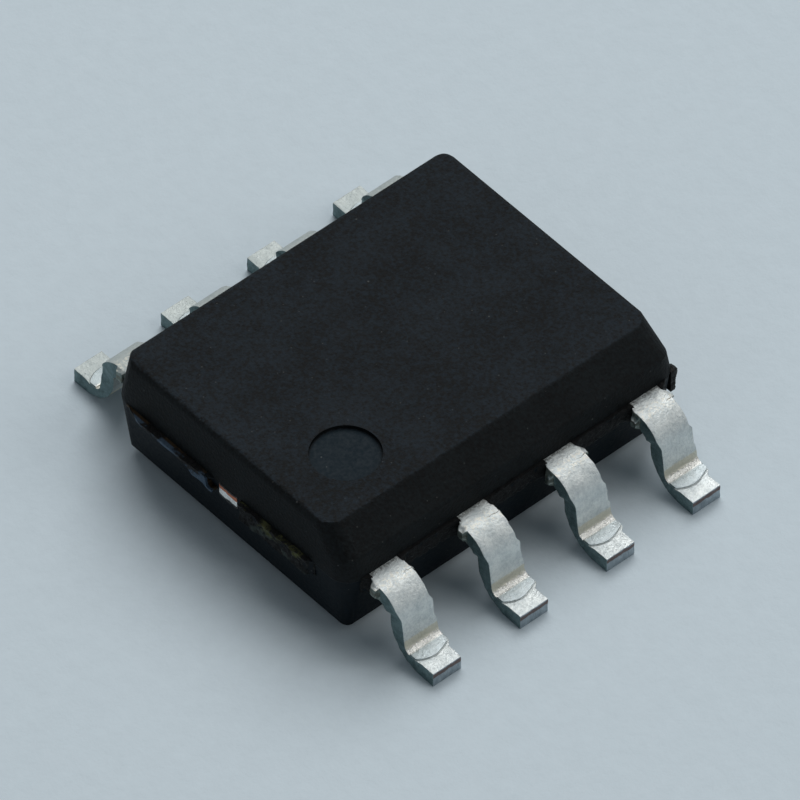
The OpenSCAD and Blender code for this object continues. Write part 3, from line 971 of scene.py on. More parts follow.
    def shift(self, group: str, amount: Callable[[Vector], float], along: Axis, way: int) -> None:
        """Moves each vertex along an axis by an amount that its place gives.

        Args:
            group: Name of the vertex group.
            amount: How far a vertex at this place goes.
            along: Direction.
            way: 1 to move along it, -1 to move against it.
        """
        most = max(amount(vertex.co) for vertex in self.obj.data.vertices)
        self.weigh(group, lambda at: amount(at) / most)
        self.push(group, way * most, along)

    def roughen(self, group: str, height: float, grain: float, along: Axis, level: float = 0.5) -> None:
        """Roughens a weighted group.

        Args:
            group: Name of the vertex group.
            height: Height from the lowest to the highest place.
            grain: Size of the roughness.
            along: Direction.
            level: Share of the height that lies below the old surface.
        """
        texture = bpy.data.textures.new(f"{self.obj.name}_{group}", type="CLOUDS")
        texture.noise_scale = grain
        texture.noise_depth = 3
        self.modify(
            "DISPLACE",
            texture=texture,
            texture_coords="LOCAL",
            vertex_group=group,
            direction=along.value,
            mid_level=level,
            strength=height,
        )
        bpy.data.textures.remove(texture)

    def unite(self, other: "Workpiece") -> None:
        """Joins another piece on as one skin, and removes the other."""
        self._combine(other, "UNION")

    def carve(self, other: "Workpiece") -> None:
        """Cuts another piece's form out of this one, and removes the other."""
        self._combine(other, "DIFFERENCE")

    def _combine(self, other: "Workpiece", operation: str) -> None:
        """Applies a boolean with another piece, and removes the other."""
        self.modify("BOOLEAN", operation=operation, solver="EXACT", object=other.obj)
        bpy.data.objects.remove(other.obj)

    def absorb(self, others: list["Workpiece"]) -> None:
        """Takes other pieces into this one's mesh, with their own finishes."""
        self.focus()
        for other in others:
            other.obj.select_set(True)
        bpy.ops.object.join()

    def face_outwards(self) -> None:
        """Turns every face to the outside."""
        with self.editing():
            bpy.ops.mesh.select_all(action="SELECT")
            bpy.ops.mesh.normals_make_consistent(inside=False)

    def scale_mesh(self, factor: float) -> None:
        """Scales the mesh about the origin."""
        self.obj.scale = (factor, factor, factor)
        self.focus()
        bpy.ops.object.transform_apply(location=False, rotation=False, scale=True)

    def finish_mesh(self, smooth_below: float = 35.0) -> bpy.types.Object:
        """Smooths the shading, brings the mesh to metres and clears its groups.

        Args:
            smooth_below: Edges below this angle, in degrees, are shaded smooth.

        Returns:
            The finished object.
        """
        self.scale_mesh(MM)
        self.obj.vertex_groups.clear()
        self.focus()
        bpy.ops.object.shade_smooth_by_angle(angle=math.radians(smooth_below))
        self.modify("WEIGHTED_NORMAL", keep_sharp=True)
        return self.obj

    def give_finishes(self, *materials: Material) -> None:
        """Gives the piece its material slots, in order."""
        for material in materials:
            self.obj.data.materials.append(material)


def mount(obj: bpy.types.Object, slot: str, *nodes: str) -> None:
    """Sets a finished piece in the frame.

    Args:
        obj: The piece.
        slot: Not used.
        nodes: The CAD nodes that it stands for.
    """
    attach(obj, "root")
    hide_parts(*nodes)
    log.info("%s: %d faces, stands for %s", obj.name, len(obj.data.polygons), ", ".join(nodes))


# ---------------------------------------------------------------- the leads


@dataclass
class GullWingLead:
    """The strip of plated copper that is bent twice, from its bonded tip to its foot.

    u is the distance outwards from the middle of the body, along Y on the bench.
    """

    tip_u: float
    toe_u: float
    top_z: float
    body_u: float
    width: float = 0.406
    thickness: float = 0.20
    straight: float = 0.185
    shoulder_r: float = 0.17
    heel_r: float = 0.10
    lean: float = math.radians(8)
    head_depth: float = 0.36
    head_width: float = 0.70
    head_gap: float = 0.20
    pitch: float = 1.27
    dam_gap: float = 0.09
    dam_width: float = 0.13
    dam_stub: float = 0.05
    stub_above: float = 0.6
    edge_round: float = 0.014
    bulge: float = 0.065
    bulge_far: float = 0.012
    coin_r: float = 0.27
    coin_back: float = 0.105
    coin_lift: float = 0.020
    coin_groove: float = 0.010
    heel_t: float = 0.115
    spread_shoulder: tuple[float, float] = (0.050, 0.010)
    spread_riser: tuple[float, float] = (0.010, 0.042)
    columns: int = 18
    rows: int = 8

    def __post_init__(self) -> None:
        """Works out where the two bends lie."""
        self.shoulder_u = self.body_u + self.straight
        self.shoulder_z = self.top_z - self.thickness - self.shoulder_r
        self.heel_z = self.thickness + self.heel_r
        outer = self.shoulder_r + self.thickness
        riser_u = self.shoulder_u + outer * math.cos(self.lean)
        riser_z = self.shoulder_z + outer * math.sin(self.lean)
        drop = riser_z + self.heel_r * math.sin(self.lean) - self.heel_z
        self.riser = drop / math.cos(self.lean)
        self.heel_u = riser_u + self.riser * math.sin(self.lean) + self.heel_r * math.cos(self.lean)
        self.turn = math.pi / 2 - self.lean
        self.dam_u = self.body_u + self.dam_gap
        corner = (math.pi / 2 + self.lean) / 2
        heel_outer = self.heel_r + self.thickness
        to_corner = heel_outer / math.sin(corner)
        self.heel_back_r = (to_corner - self.heel_r - self.heel_t) / (1 / math.sin(corner) - 1)
        self.heel_back_u = self.heel_u + (self.heel_back_r - heel_outer) / math.tan(corner)
        self.heel_run = self.straight + outer * self.turn + self.riser + self.heel_r * self.turn

    @classmethod
    def from_frame(cls) -> "GullWingLead":
        """Takes the reach and heights of a lead from the CAD frame."""
        low, high = box_mm("lead_8")
        _, body_high = box_mm("mould_body")
        return cls(tip_u=low.y, toe_u=high.y, top_z=high.z, body_u=body_high.y - cls.dam_gap)

    def build(self, name: str, row_end: bool) -> Workpiece:
        """Models one lead on the +Y side at x = 0, with +x towards the near end of its row.

        Args:
            name: Name of the piece.
            row_end: Whether it stands at the end of its row, where the head reaches only inwards.

        Returns:
            The lead, without its burrs.
        """
        lead = self._bent_strip(name)
        with lead.editing():
            self._widen_head(lead, row_end)
            self._add_stubs(lead)
            self._round_edges(lead)
        lead.unite(self._coined_tongue())
        lead.carve(self._coined_groove())
        self._thin_heel(lead)
        return lead

    def unrolled(self, at: Vector) -> tuple[float, float]:
        """Gives where a vertex lies along the bent strip and in its thickness.

        Args:
            at: Place of the vertex; its distance from the middle of the body may have either sign.

        Returns:
            The run along the strip from the side of the body, and the depth below its upper face.
        """
        out = Vector((abs(at.y), at.z))
        shoulder = Vector((self.shoulder_u, self.shoulder_z))
        heel = Vector((self.heel_u, self.heel_z))
        outer = self.shoulder_r + self.thickness
        bend = outer * self.turn
        if out.x < self.shoulder_u:
            return out.x - self.body_u, self.top_z - out.y
        if out.x > self.heel_u and out.y < self.heel_z:
            run = self.straight + bend + self.riser + self.heel_r * self.turn + out.x - heel.x
            return run, self.thickness - out.y
        from_shoulder = out - shoulder
        angle = math.atan2(from_shoulder.y, from_shoulder.x)
        if angle > self.lean:
            return self.straight + outer * (math.pi / 2 - angle), outer - from_shoulder.length
        down = Vector((math.sin(self.lean), -math.cos(self.lean)))
        along = from_shoulder.dot(down)
        if along < self.riser:
            depth = outer - from_shoulder.dot(Vector((math.cos(self.lean), math.sin(self.lean))))
            return self.straight + bend + along, depth
        from_heel = out - heel
        swung = math.atan2(-from_heel.y, -from_heel.x) + self.lean
        run = self.straight + bend + self.riser + self.heel_r * max(0.0, swung)
        return run, from_heel.length - self.heel_r

    def _bent_strip(self, name: str) -> Workpiece:
        """Draws the strip out from its tip, round the shoulder and the heel, to the toe."""
        middle_z = self.top_z - self.thickness / 2
        strip = Workpiece.upright_section(
            name, self.columns, self.rows, self.width, self.thickness, (0.0, self.tip_u, middle_z)
        )
        down_riser = Vector((0.0, math.sin(self.lean), -math.cos(self.lean))) * self.riser
        with strip.editing():
            bpy.ops.mesh.select_all(action="SELECT")
            strip.draw_out(Vector((0.0, self.head_depth, 0.0)), 4)
            strip.draw_out(Vector((0.0, self.body_u - self.tip_u - self.head_depth, 0.0)), 6)
            strip.draw_out(Vector((0.0, self.dam_gap, 0.0)), 5)
            strip.draw_out(Vector((0.0, self.straight - self.dam_gap, 0.0)), 5)
            shoulder = (0.0, self.shoulder_u, self.shoulder_z)
            bpy.ops.mesh.spin(steps=22, angle=self.turn, center=shoulder, axis=(1.0, 0.0, 0.0))
            strip.draw_out(down_riser, 8)
            heel = (0.0, self.heel_u, self.heel_z)
            bpy.ops.mesh.spin(steps=18, angle=self.turn, center=heel, axis=(-1.0, 0.0, 0.0))
            strip.draw_out(Vector((0.0, self.toe_u - self.heel_u, 0.0)), 18)
        strip.face_outwards()
        return strip

    def _widen_head(self, lead: Workpiece, row_end: bool) -> None:
        """Draws the bonded head out to its full width, on both sides or on the inner one."""
        inner_reach = self.head_width / 2
        if row_end:
            inner_reach = self.pitch - self.head_width / 2 - self.head_gap
        sides = (-1,) if row_end else (-1, 1)
        for side in sides:
            lead.pick_faces(
                lambda at, normal, side=side: normal.x * side > 0.9 and at.y < self.tip_u + self.head_depth
            )
            reach = inner_reach - self.width / 2
            lead.draw_out(Vector((side * reach, 0.0, 0.0)), 6)

    def _add_stubs(self, lead: Workpiece) -> None:
        """Draws the trimmed stubs of the dam bar out of both sides."""
        end_u = self.dam_u + self.dam_width
        for side in (-1, 1):
            lead.pick_faces(
                lambda at, normal, side=side: normal.x * side > 0.9
                and self.dam_u < at.y < end_u
                and at.z > self.stub_above
            )
            shrink = (1.0, 0.86, 0.84) if side < 0 else (1.0, 0.90, 0.88)
            middle_z = self.top_z - (0.8 if side < 0 else 0.35) * self.thickness
            for _ in range(4):
                lead.draw_out(Vector((side * self.dam_stub / 4, 0.0, 0.0)), 1)
                bpy.ops.transform.resize(
                    value=shrink, center_override=(side * self.width / 2, end_u - 0.03, middle_z)
                )

    def _round_edges(self, lead: Workpiece) -> None:
        """Softens the stamped edges, as plating does."""
        lead.pick_sharp()
        bpy.ops.mesh.bevel(offset=self.edge_round, segments=2, affect="EDGES", clamp_overlap=True)

    def _coined_tongue(self) -> Workpiece:
        """Models the crescent of metal that the forming punch raises on the foot."""
        coin_u = self.heel_u - self.coin_back
        tongue = Workpiece.disc(
            "coined_tongue",
            self.coin_r,
            self.thickness - 0.04,
            self.thickness + self.coin_lift,
            (0.0, coin_u),
        )
        reach = self.width / 2 - 0.004
        with tongue.editing():
            tongue.cut_off((reach, 0.0, 0.0), (1.0, 0.0, 0.0))
            tongue.cut_off((-reach, 0.0, 0.0), (-1.0, 0.0, 0.0))
            tongue.cut_off((0.0, self.heel_u - 0.02, 0.0), (0.0, -1.0, 0.0))
            tongue.pick_edges(
                lambda at, way: abs(way.z) < 0.1 and at.z > self.thickness and at.y > self.heel_u + 0.01
            )
            bpy.ops.mesh.bevel(offset=0.007, segments=3, affect="EDGES")
        return tongue

    def _coined_groove(self) -> Workpiece:
        """Models the thin groove that the punch's edge leaves round the crescent."""
        bpy.ops.mesh.primitive_torus_add(
            major_radius=self.coin_r + 0.4 * self.coin_groove,
            minor_radius=self.coin_groove,
            major_segments=96,
            minor_segments=10,
            location=(0.0, self.heel_u - self.coin_back, self.thickness + 0.2 * self.coin_groove),
        )
        groove = Workpiece.adopt("coined_groove")
        with groove.editing():
            groove.cut_off((0.0, self.heel_u + 0.03, 0.0), (0.0, -1.0, 0.0))
        return groove

    def _thinning(self, at: Vector) -> Vector:
        """Gives how far a vertex moves where the punch pressed the heel thin from below.

        Args:
            at: Place of the vertex.

        Returns:
            Its way outwards and upwards.
        """
        run, depth = self.unrolled(at)
        if depth <= 0 or run < self.straight + (self.shoulder_r + self.thickness) * self.turn * 0.8:
            return Vector((0.0, 0.0))
        if at.y > self.heel_u and at.z < self.heel_z:
            inward = Vector((0.0, 1.0))
        elif run < self.heel_run - self.heel_r * self.turn:
            inward = Vector((math.cos(self.lean), math.sin(self.lean)))
        else:
            inward = (Vector((self.heel_u, self.heel_z)) - Vector((at.y, at.z))).normalized()
        under = Vector((at.y, at.z)) - inward * (self.thickness - depth)
        from_middle = under - Vector((self.heel_back_u, self.heel_back_r))
        past = from_middle.length_squared - self.heel_back_r**2
        if past <= 0 or under.x > self.heel_back_u:
            return Vector((0.0, 0.0))
        half = from_middle.dot(inward)
        shift = -half - math.sqrt(max(0.0, half * half - past))
        return inward * shift * min(1.0, depth / self.thickness)

    def _thin_heel(self, lead: Workpiece) -> None:
        """Presses the heel thinner from below."""
        most = max(max(self._thinning(vertex.co)) for vertex in lead.obj.data.vertices)
        lead.weigh("thin_out", lambda at: self._thinning(at).x / most)
        lead.weigh("thin_up", lambda at: self._thinning(at).y / most)
        lead.push("thin_out", most, Axis.Y)
        lead.push("thin_up", most, Axis.Z)

    def spread_out(self, lead: Workpiece, middle_x: float) -> None:
        """Spreads the strip sideways past the dam bar, and most of all round the heel.

        Args:
            lead: The lead at its place in its row.
            middle_x: X of the middle of its strip.
        """
        half = self.width / 2
        coin_run = self.heel_run - self.coin_back + self.coin_r
        riser_from = self.straight + (self.shoulder_r + self.thickness) * self.turn * 0.70
        most = 0.1

        def spread(at: Vector, side: int) -> float:
            """Weighs a vertex by how far it goes to that side."""
            off = (at.x - middle_x) * side / half
            if off < 0.3 or abs(at.y) < self.body_u + 0.02:
                return 0.0
            run, depth = self.unrolled(at)
            which = 0 if side < 0 else 1
            shoulder_from = self.dam_gap + 0.5 * self.dam_width
            shoulder = self.spread_shoulder[which] * plateau(run, shoulder_from, riser_from, 0.17)
            riser = self.spread_riser[which] * plateau(run, riser_from + 0.12, self.heel_run - 0.02, 0.08)
            bulge = (self.bulge_far, self.bulge)[which]
            heel = bulge * plateau(run, self.heel_run - 0.26, coin_run - 0.085, 0.09)
            heel *= 1 - 0.6 * ease((depth - 0.05) / 0.13)
            return min(1.0, off) * max(shoulder + riser, heel) / most

        for name, side in (("right", 1), ("left", -1)):
            lead.weigh(name, lambda at, side=side: spread(at, side))
            lead.push(name, side * most, Axis.X)


@dataclass
class LeadRows:
    """The eight leads in their two rows."""

    lead: GullWingLead
    plate: Material
    toe: Material
    stub: Material
    burr: float = 0.016
    pits: float = 0.006

    def build(self) -> None:
        """Models a middle and an end lead, and stands their copies in the rows."""
        middle = self.lead.build("middle_lead", row_end=False)
        end = self.lead.build("end_lead", row_end=True)
        for number in range(1, LEADS + 1):
            _, high = box_mm(f"lead_{number}")
            row = RowSide.FRONT if high.y < 0 else RowSide.BACK
            place = number if row is RowSide.FRONT else LEADS + 1 - number
            at_end = place in (1, PER_ROW)
            toward = 1 if place > PER_ROW / 2 else -1
            x = toward * self.lead.pitch * (1.5 if at_end else 0.5)
            copy = (end if at_end else middle).copy(f"gull_wing_{number}")
            self._stand(copy, x, row, toward)
            self.lead.spread_out(copy, x)
            self._add_burrs(copy)
            self._dress(copy)
            mount(copy.finish_mesh(40.0), "tin_plate", f"lead_{number}")
        for master in (middle, end):
            bpy.data.objects.remove(master.obj)

    def _stand(self, lead: Workpiece, x: float, row: RowSide, toward: int) -> None:
        """Stands a copy at its place in its row."""
        with lead.editing():
            bpy.ops.mesh.select_all(action="SELECT")
            bpy.ops.transform.resize(value=(toward, row.value, 1.0), center_override=(0.0, 0.0, 0.0))
            bpy.ops.transform.translate(value=(x, 0.0, 0.0))
        lead.face_outwards()
        self.middle_x = x

    def _add_burrs(self, lead: Workpiece) -> None:
        """Roughens the trimmed stubs and the edges, each lead in its own way."""
        form = self.lead
        half = form.width / 2

        def at_stub(at: Vector) -> float:
            """Weighs a vertex on a trimmed stub or just beside it."""
            if at.z <= form.stub_above:
                return 0.0
            near = plateau(abs(at.y), form.dam_u, form.dam_u + form.dam_width, 0.05)
            return near * ease((abs(at.x - self.middle_x) - half + 0.05) / 0.05)

        def at_edge(at: Vector) -> float:
            """Weighs a vertex along the long edges of the outer lead."""
            if abs(at.y) < form.body_u + 0.02 or at.z < 0.02:
                return 0.0
            return ease((abs(at.x - self.middle_x) - half + 0.03) / 0.03)

        def on_plate(at: Vector) -> float:
            """Weighs a vertex on the plated outer lead."""
            return ease((abs(at.y) - form.body_u) / 0.05) * ease((at.z - 0.01) / 0.05)

        lead.weigh("stub", at_stub)
        lead.weigh("edge", at_edge)
        lead.weigh("plate", on_plate)
        lead.roughen("stub", self.burr * 1.8, 0.05, Axis.NORMAL)
        lead.roughen("edge", self.burr, 0.08, Axis.NORMAL)
        lead.roughen("plate", self.pits, 0.05, Axis.NORMAL)

    def _dress(self, lead: Workpiece) -> None:
        """Plates the lead, and leaves its toe and the cut ends of its stubs bare."""
        form = self.lead
        lead.give_finishes(self.plate, self.toe, self.stub)
        lead.give_slot(1, lambda at, normal: abs(at.y) > form.toe_u - 0.015 and abs(normal.y) > 0.75)
        lead.give_slot(
            2,
            lambda at, normal: abs(at.x - self.middle_x) > form.width / 2 + 0.3 * form.dam_stub
            and form.dam_u < abs(at.y) < form.dam_u + form.dam_width + 0.02
            and at.z > form.stub_above
            and normal.z < 0.6,
        )


# ---------------------------------------------------------------- the body


@dataclass
class ResinCrust:
    """A ragged bar of broken resin on the parting line, which the body takes in.

    It lies along X or Y, its outer face looks along the other of the two, and its depth varies along it.
    """

    name: str
    along: Axis
    start: float
    end: float
    face: float
    outward: int
    low_z: float
    high_z: float
    depth: Callable[[float, float], float]
    rough: float = 0.03
    grain: float = 0.06
    fine: float = 0.012
    root: float = 0.06
    step: float = 0.018
    sag: Callable[[float], float] | None = None
    hang: Callable[[float], float] | None = None

    def build(self) -> Workpiece:
        """Models the crust and returns it."""
        run_axis = 0 if self.along is Axis.X else 1
        out_axis = 1 - run_axis
        inner = self.face - self.outward * self.root
        low = [0.0, 0.0, self.low_z]
        high = [0.0, 0.0, self.high_z]
        low[run_axis], high[run_axis] = self.start, self.end
        low[out_axis], high[out_axis] = min(inner, self.face), max(inner, self.face)
        run_cuts = max(3, round((self.end - self.start) / self.step))
        height_cuts = max(3, round((self.high_z - self.low_z) / self.step))
        cuts = (run_cuts, 0, height_cuts) if run_axis == 0 else (0, run_cuts, height_cuts)
        crust = Workpiece.bar(self.name, tuple(low), tuple(high), cuts)
        outward_axis = Axis.Y if run_axis == 0 else Axis.X
        crust.weigh("ragged", lambda at: float(self._is_outer(at, out_axis)))
        crust.shift("outer", lambda at: self._depth_at(at, run_axis, out_axis), outward_axis, self.outward)
        if self.sag is not None:
            crust.shift("sag", lambda at: self.sag(at[run_axis]), Axis.Z, -1)
        if self.hang is not None:
            under = self.low_z + 0.25 * (self.high_z - self.low_z)
            crust.shift("hang", lambda at: self.hang(at[run_axis]) if at.z < under else 0.0, Axis.Z, -1)
        crust.roughen("ragged", self.outward * self.rough, self.grain, outward_axis, level=0.35)
        crust.roughen("ragged", self.fine, self.grain / 3, Axis.NORMAL)
        return crust

    def _is_outer(self, at: Vector, out_axis: int) -> bool:
        """Says whether a vertex of the plain bar lies on its outer face."""
        return at[out_axis] * self.outward > self.face * self.outward - 1e-4

    def _depth_at(self, at: Vector, run_axis: int, out_axis: int) -> float:
        """Gives how far a vertex of the plain bar is pushed out."""
        if not self._is_outer(at, out_axis):
            return 0.0
        height = (at.z - self.low_z) / (self.high_z - self.low_z)
        return max(0.0, self.depth(at[run_axis], height))


@dataclass
class MouldBody:
    """The epoxy body, with its flash, its broken gate and the resin between the leads.

    The dimple's place is measured from the left end and the front side of the body.
    """

    lead: GullWingLead
    dimple_from_end: float = 0.97
    dimple_from_side: float = 1.10
    dimple_r: float = 0.41
    dimple_depth: float = 0.05
    flash_out: float = 0.07
    flash_from: float = 0.20
    flash_to: float = 1.70
    gate_near: float = 0.20
    gate_far: float = 1.44
    gate_h: float = 0.20
    web_mid: float = 0.035
    web_side: float = 0.12
    corner_r: float = 0.26
    corner_facets: int = 5

    def __post_init__(self) -> None:
        """Takes the body's reach from the CAD frame."""
        _, high = box_mm("mould_body")
        self.half_l = high.x - self.flash_out
        self.half_w = self.lead.body_u
        self.top_z = high.z
        self.dimple = (self.dimple_from_end - self.half_l, self.dimple_from_side - self.half_w, self.dimple_r)

    def build(
        self,
        compound: Material,
        crumbs: Material,
        gate_scar: Material,
        flash_edge: Material,
    ) -> None:
        """Models the body in one piece and sets it in the frame.

        Args:
            compound: Finish of the moulded faces.
            crumbs: Finish of the resin between the leads.
            gate_scar: Finish of the broken gate.
            flash_edge: Finish of the flash.
        """
        body = Workpiece.from_node("mould_body", "moulded_body")
        self._soften_corners(body)
        body.give_finishes(compound)
        nub, flash, gate = self._nub(), self._flash(), self._gate()
        nub.give_finishes(crumbs)
        flash.give_finishes(flash_edge)
        gate.give_finishes(gate_scar)
        crusts = [*self._webs(crumbs), flash, gate, nub]
        for crust in crusts:
            crust.face_outwards()
        body.absorb(crusts)
        mount(body.finish_mesh(30.0), "mould_compound", "mould_body")

    def _soften_corners(self, body: Workpiece) -> None:
        """Rounds the upper half more where its ends meet the sides and the bevel.

        Args:
            body: The body as it comes from the frame.
        """
        parting = self.lead.top_z
        with body.editing():
            ends = [
                body.widest_plane(lambda at, normal, side=side: normal.x * side > 0.9 and at.z > parting)
                for side in (-1, 1)
            ]
            sides = [
                body.widest_plane(lambda at, normal: normal.y > 0.9 and at.z > parting),
                body.widest_plane(lambda at, normal: normal.y < -0.9 and at.z > parting),
                body.widest_plane(lambda at, normal: normal.y < -0.4 and normal.z > 0.4),
            ]
            for end in ends:
                for side in sides:
                    self._soften_edge(body, end, side)

    def _soften_edge(self, body: Workpiece, end: Plane, side: Plane) -> None:
        """Cuts small facets round the edge where two faces meet, all of which touch one round.

        Args:
            body: The body, in edit mode.
            end: Point and normal of the first face.
            side: Point and normal of the second face.
        """
        (end_at, end_way), (side_at, side_way) = end, side
        along = end_way.cross(side_way).normalized()
        rows = Matrix((end_way, side_way, along))
        reach = Vector((end_at.dot(end_way) - self.corner_r, side_at.dot(side_way) - self.corner_r, 0.0))
        centre = rows.inverted() @ reach
        for part in range(1, self.corner_facets + 1):
            way = end_way.slerp(side_way, part / (self.corner_facets + 1))
            body.cut_off(centre + way * self.corner_r, way)

    def _webs(self, crumbs: Material) -> list[Workpiece]:
        """Models the ragged resin beside each lead and between the leads of both rows."""
        lead = self.lead
        half = lead.width / 2
        rows = [x * lead.pitch for x in (-1.5, -0.5, 0.5, 1.5)]
        gaps = [(rows[0] - half - self.web_side, rows[0] - half)]
        gaps += [(left + half, right - half) for left, right in zip(rows, rows[1:])]
        gaps += [(rows[-1] + half, rows[-1] + half + self.web_side)]
        webs = []
        for row in RowSide:
            for number, (start, end) in enumerate(gaps):
                crust = ResinCrust(
                    name=f"web_{row.name.lower()}_{number}",
                    along=Axis.X,
                    start=start,
                    end=end,
                    face=row.value * self.half_w,
                    outward=row.value,
                    low_z=lead.top_z - lead.thickness - 0.012,
                    high_z=lead.top_z + 0.010,
                    depth=lambda x, height, rows=rows: self._web_depth(x, height, rows),
                    rough=0.045,
                    grain=0.07,
                ).build()
                crust.give_finishes(crumbs)
                webs.append(crust)
        return webs

    def _web_depth(self, x: float, height: float, rows: list[float]) -> float:
        """Gives the depth of the resin web at a place.

        Args:
            x: Place along the row.
            height: Place up its face, 0 to 1.
            rows: X of the four leads.

        Returns:
            How far it stands out of the body.
        """
        beside = min(abs(x - middle) for middle in rows) - self.lead.width / 2
        slope = 1 - ease(beside / self.web_side)
        edge = 1 - 0.35 * abs(2 * height - 1) ** 3
        between = self.web_mid if abs(x) < rows[-1] else 0.0
        return (between + (self.lead.dam_gap - between) * slope) * edge + 0.004

    def _flash(self) -> Workpiece:
        """Models the thin bowed flash on the left end, behind the tie bar."""
        length = self.flash_to - self.flash_from

        def depth(y: float, height: float) -> float:
            """Gives the bowed outline, fading at its back end."""
            part = (y - self.flash_from) / length
            return (self.flash_out + 0.012) * ease(4.5 * (1 - part)) * (0.75 + 0.25 * ease(3 * part)) + 0.004

        return ResinCrust(
            name="parting_flash",
            along=Axis.Y,
            start=self.flash_from,
            end=self.flash_to,
            face=-self.half_l,
            outward=-1,
            low_z=self.lead.top_z - 0.034,
            high_z=self.lead.top_z + 0.004,
            depth=depth,
            rough=0.022,
            grain=0.16,
            fine=0.005,
            step=0.014,
            sag=lambda y: 0.10 * ease((self.flash_from + 0.16 - y) / 0.16) + 1e-6,
            hang=lambda y: 0.085 * plateau(y, self.flash_from + 0.10, self.flash_from + 0.30, 0.16) + 1e-6,
        ).build()

    def _gate(self) -> Workpiece:
        """Models the broken gate in front of the tie bar, a trough between two ragged lips."""

        def depth(y: float, height: float) -> float:
            """Gives the scar's height, with its lips above and below."""
            along = plateau(-y, self.gate_near + 0.06, self.gate_far - 0.10, 0.06)
            lips = 0.045 + 0.020 * (2 * height - 1) ** 2
            return lips * along + 0.003

        return ResinCrust(
            name="broken_gate",
            along=Axis.Y,
            start=-self.gate_far,
            end=-self.gate_near,
            face=-self.half_l + 0.012,
            outward=-1,
            low_z=self.lead.top_z - self.gate_h - 0.012,
            high_z=self.lead.top_z + 0.004,
            depth=depth,
            rough=0.055,
            grain=0.085,
            fine=0.018,
            step=0.014,
        ).build()

    def _nub(self) -> Workpiece:
        """Models the nub of flash at the right end, at the corner beside lead 4."""

        def depth(y: float, height: float) -> float:
            """Gives a ridge that stands out most a little above its middle, and thins out downwards."""
            along = plateau(y, -self.half_w + 0.10, -self.half_w + 0.18, 0.06)
            return (self.flash_out + 0.01) * along * ease(height / 0.65) * ease((1 - height) / 0.30) + 0.004

        return ResinCrust(
            name="flash_nub",
            along=Axis.Y,
            start=-self.half_w + 0.04,
            end=-self.half_w + 0.24,
            face=self.half_l - 0.035,
            outward=1,
            low_z=self.lead.top_z - 0.32,
            high_z=self.lead.top_z,
            depth=depth,
            rough=0.03,
            grain=0.06,
            step=0.012,
        ).build()


@dataclass
class DiePaddle:
    """The copper plate under the chip, whose tie bars end bare on both ends of the body."""

    copper: Material
    cut: Material
    edge_round: float = 0.005
    stand_out: float = 0.006

    def build(self) -> None:
        """Models the paddle with softened edges and torn tie-bar ends."""
        _, high = box_mm("die_paddle")
        paddle = Workpiece.from_node("die_paddle", "paddle_with_tie_bars")
        with paddle.editing():
            paddle.pick_sharp()
            bpy.ops.mesh.bevel(offset=self.edge_round, segments=2, affect="EDGES")
            paddle.pick_faces(lambda at, normal: abs(normal.x) > 0.9 and abs(at.x) > high.x - 0.001)
            bpy.ops.mesh.inset(thickness=0.004, depth=0.0)
            bpy.ops.mesh.subdivide(number_cuts=12)
        half_bar = max(at.y for at in (v.co for v in paddle.obj.data.vertices) if abs(at.x) > high.x - 0.0005)
        paddle.weigh(
            "torn",
            lambda at: ease((half_bar - abs(at.y)) / 0.02) if abs(at.x) > high.x - 0.0005 else 0.0,
        )
        paddle.push("torn", self.stand_out, Axis.NORMAL)
        paddle.roughen("torn", 0.02, 0.05, Axis.NORMAL)
        paddle.give_finishes(self.copper, self.cut)
        paddle.give_slot(1, lambda at, normal: abs(at.x) > high.x - 0.0005)
        mount(paddle.finish_mesh(30.0), "copper_frame", "die_paddle")


@dataclass
class InnerParts:
    """The pieces sealed in the resin, which keep their CAD shape."""

    finishes: dict[str, Material]

    def dress(self) -> None:
        """Gives each piece its finish."""
        for node, material in self.finishes.items():
            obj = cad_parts[node]
            obj.data.materials.clear()
            obj.data.materials.append(material)
            log.info("%s: keeps its shape, finished as %s", node, material.name)


# ---------------------------------------------------------------- the studio


@dataclass(frozen=True)
class Lamp:
    """A square soft box that looks at the chip from a direction."""

    name: str
    direction: Place
    distance: float
    size: float
    power: float
    tint: Colour = (1.0, 1.0, 1.0)

    def hang(self, target: Vector) -> None:
        """Hangs the lamp so that it looks at the target."""
        data = bpy.data.lights.new(self.name, type="AREA")
        data.shape = "SQUARE"
        data.size = self.size
        data.energy = self.power
        data.color = self.tint
        lamp = bpy.data.objects.new(self.name, data)
        bpy.context.scene.collection.objects.link(lamp)
        way = Vector(self.direction).normalized()
        lamp.location = target + way * self.distance
        lamp.rotation_euler = (-way).to_track_quat("-Z", "Y").to_euler()


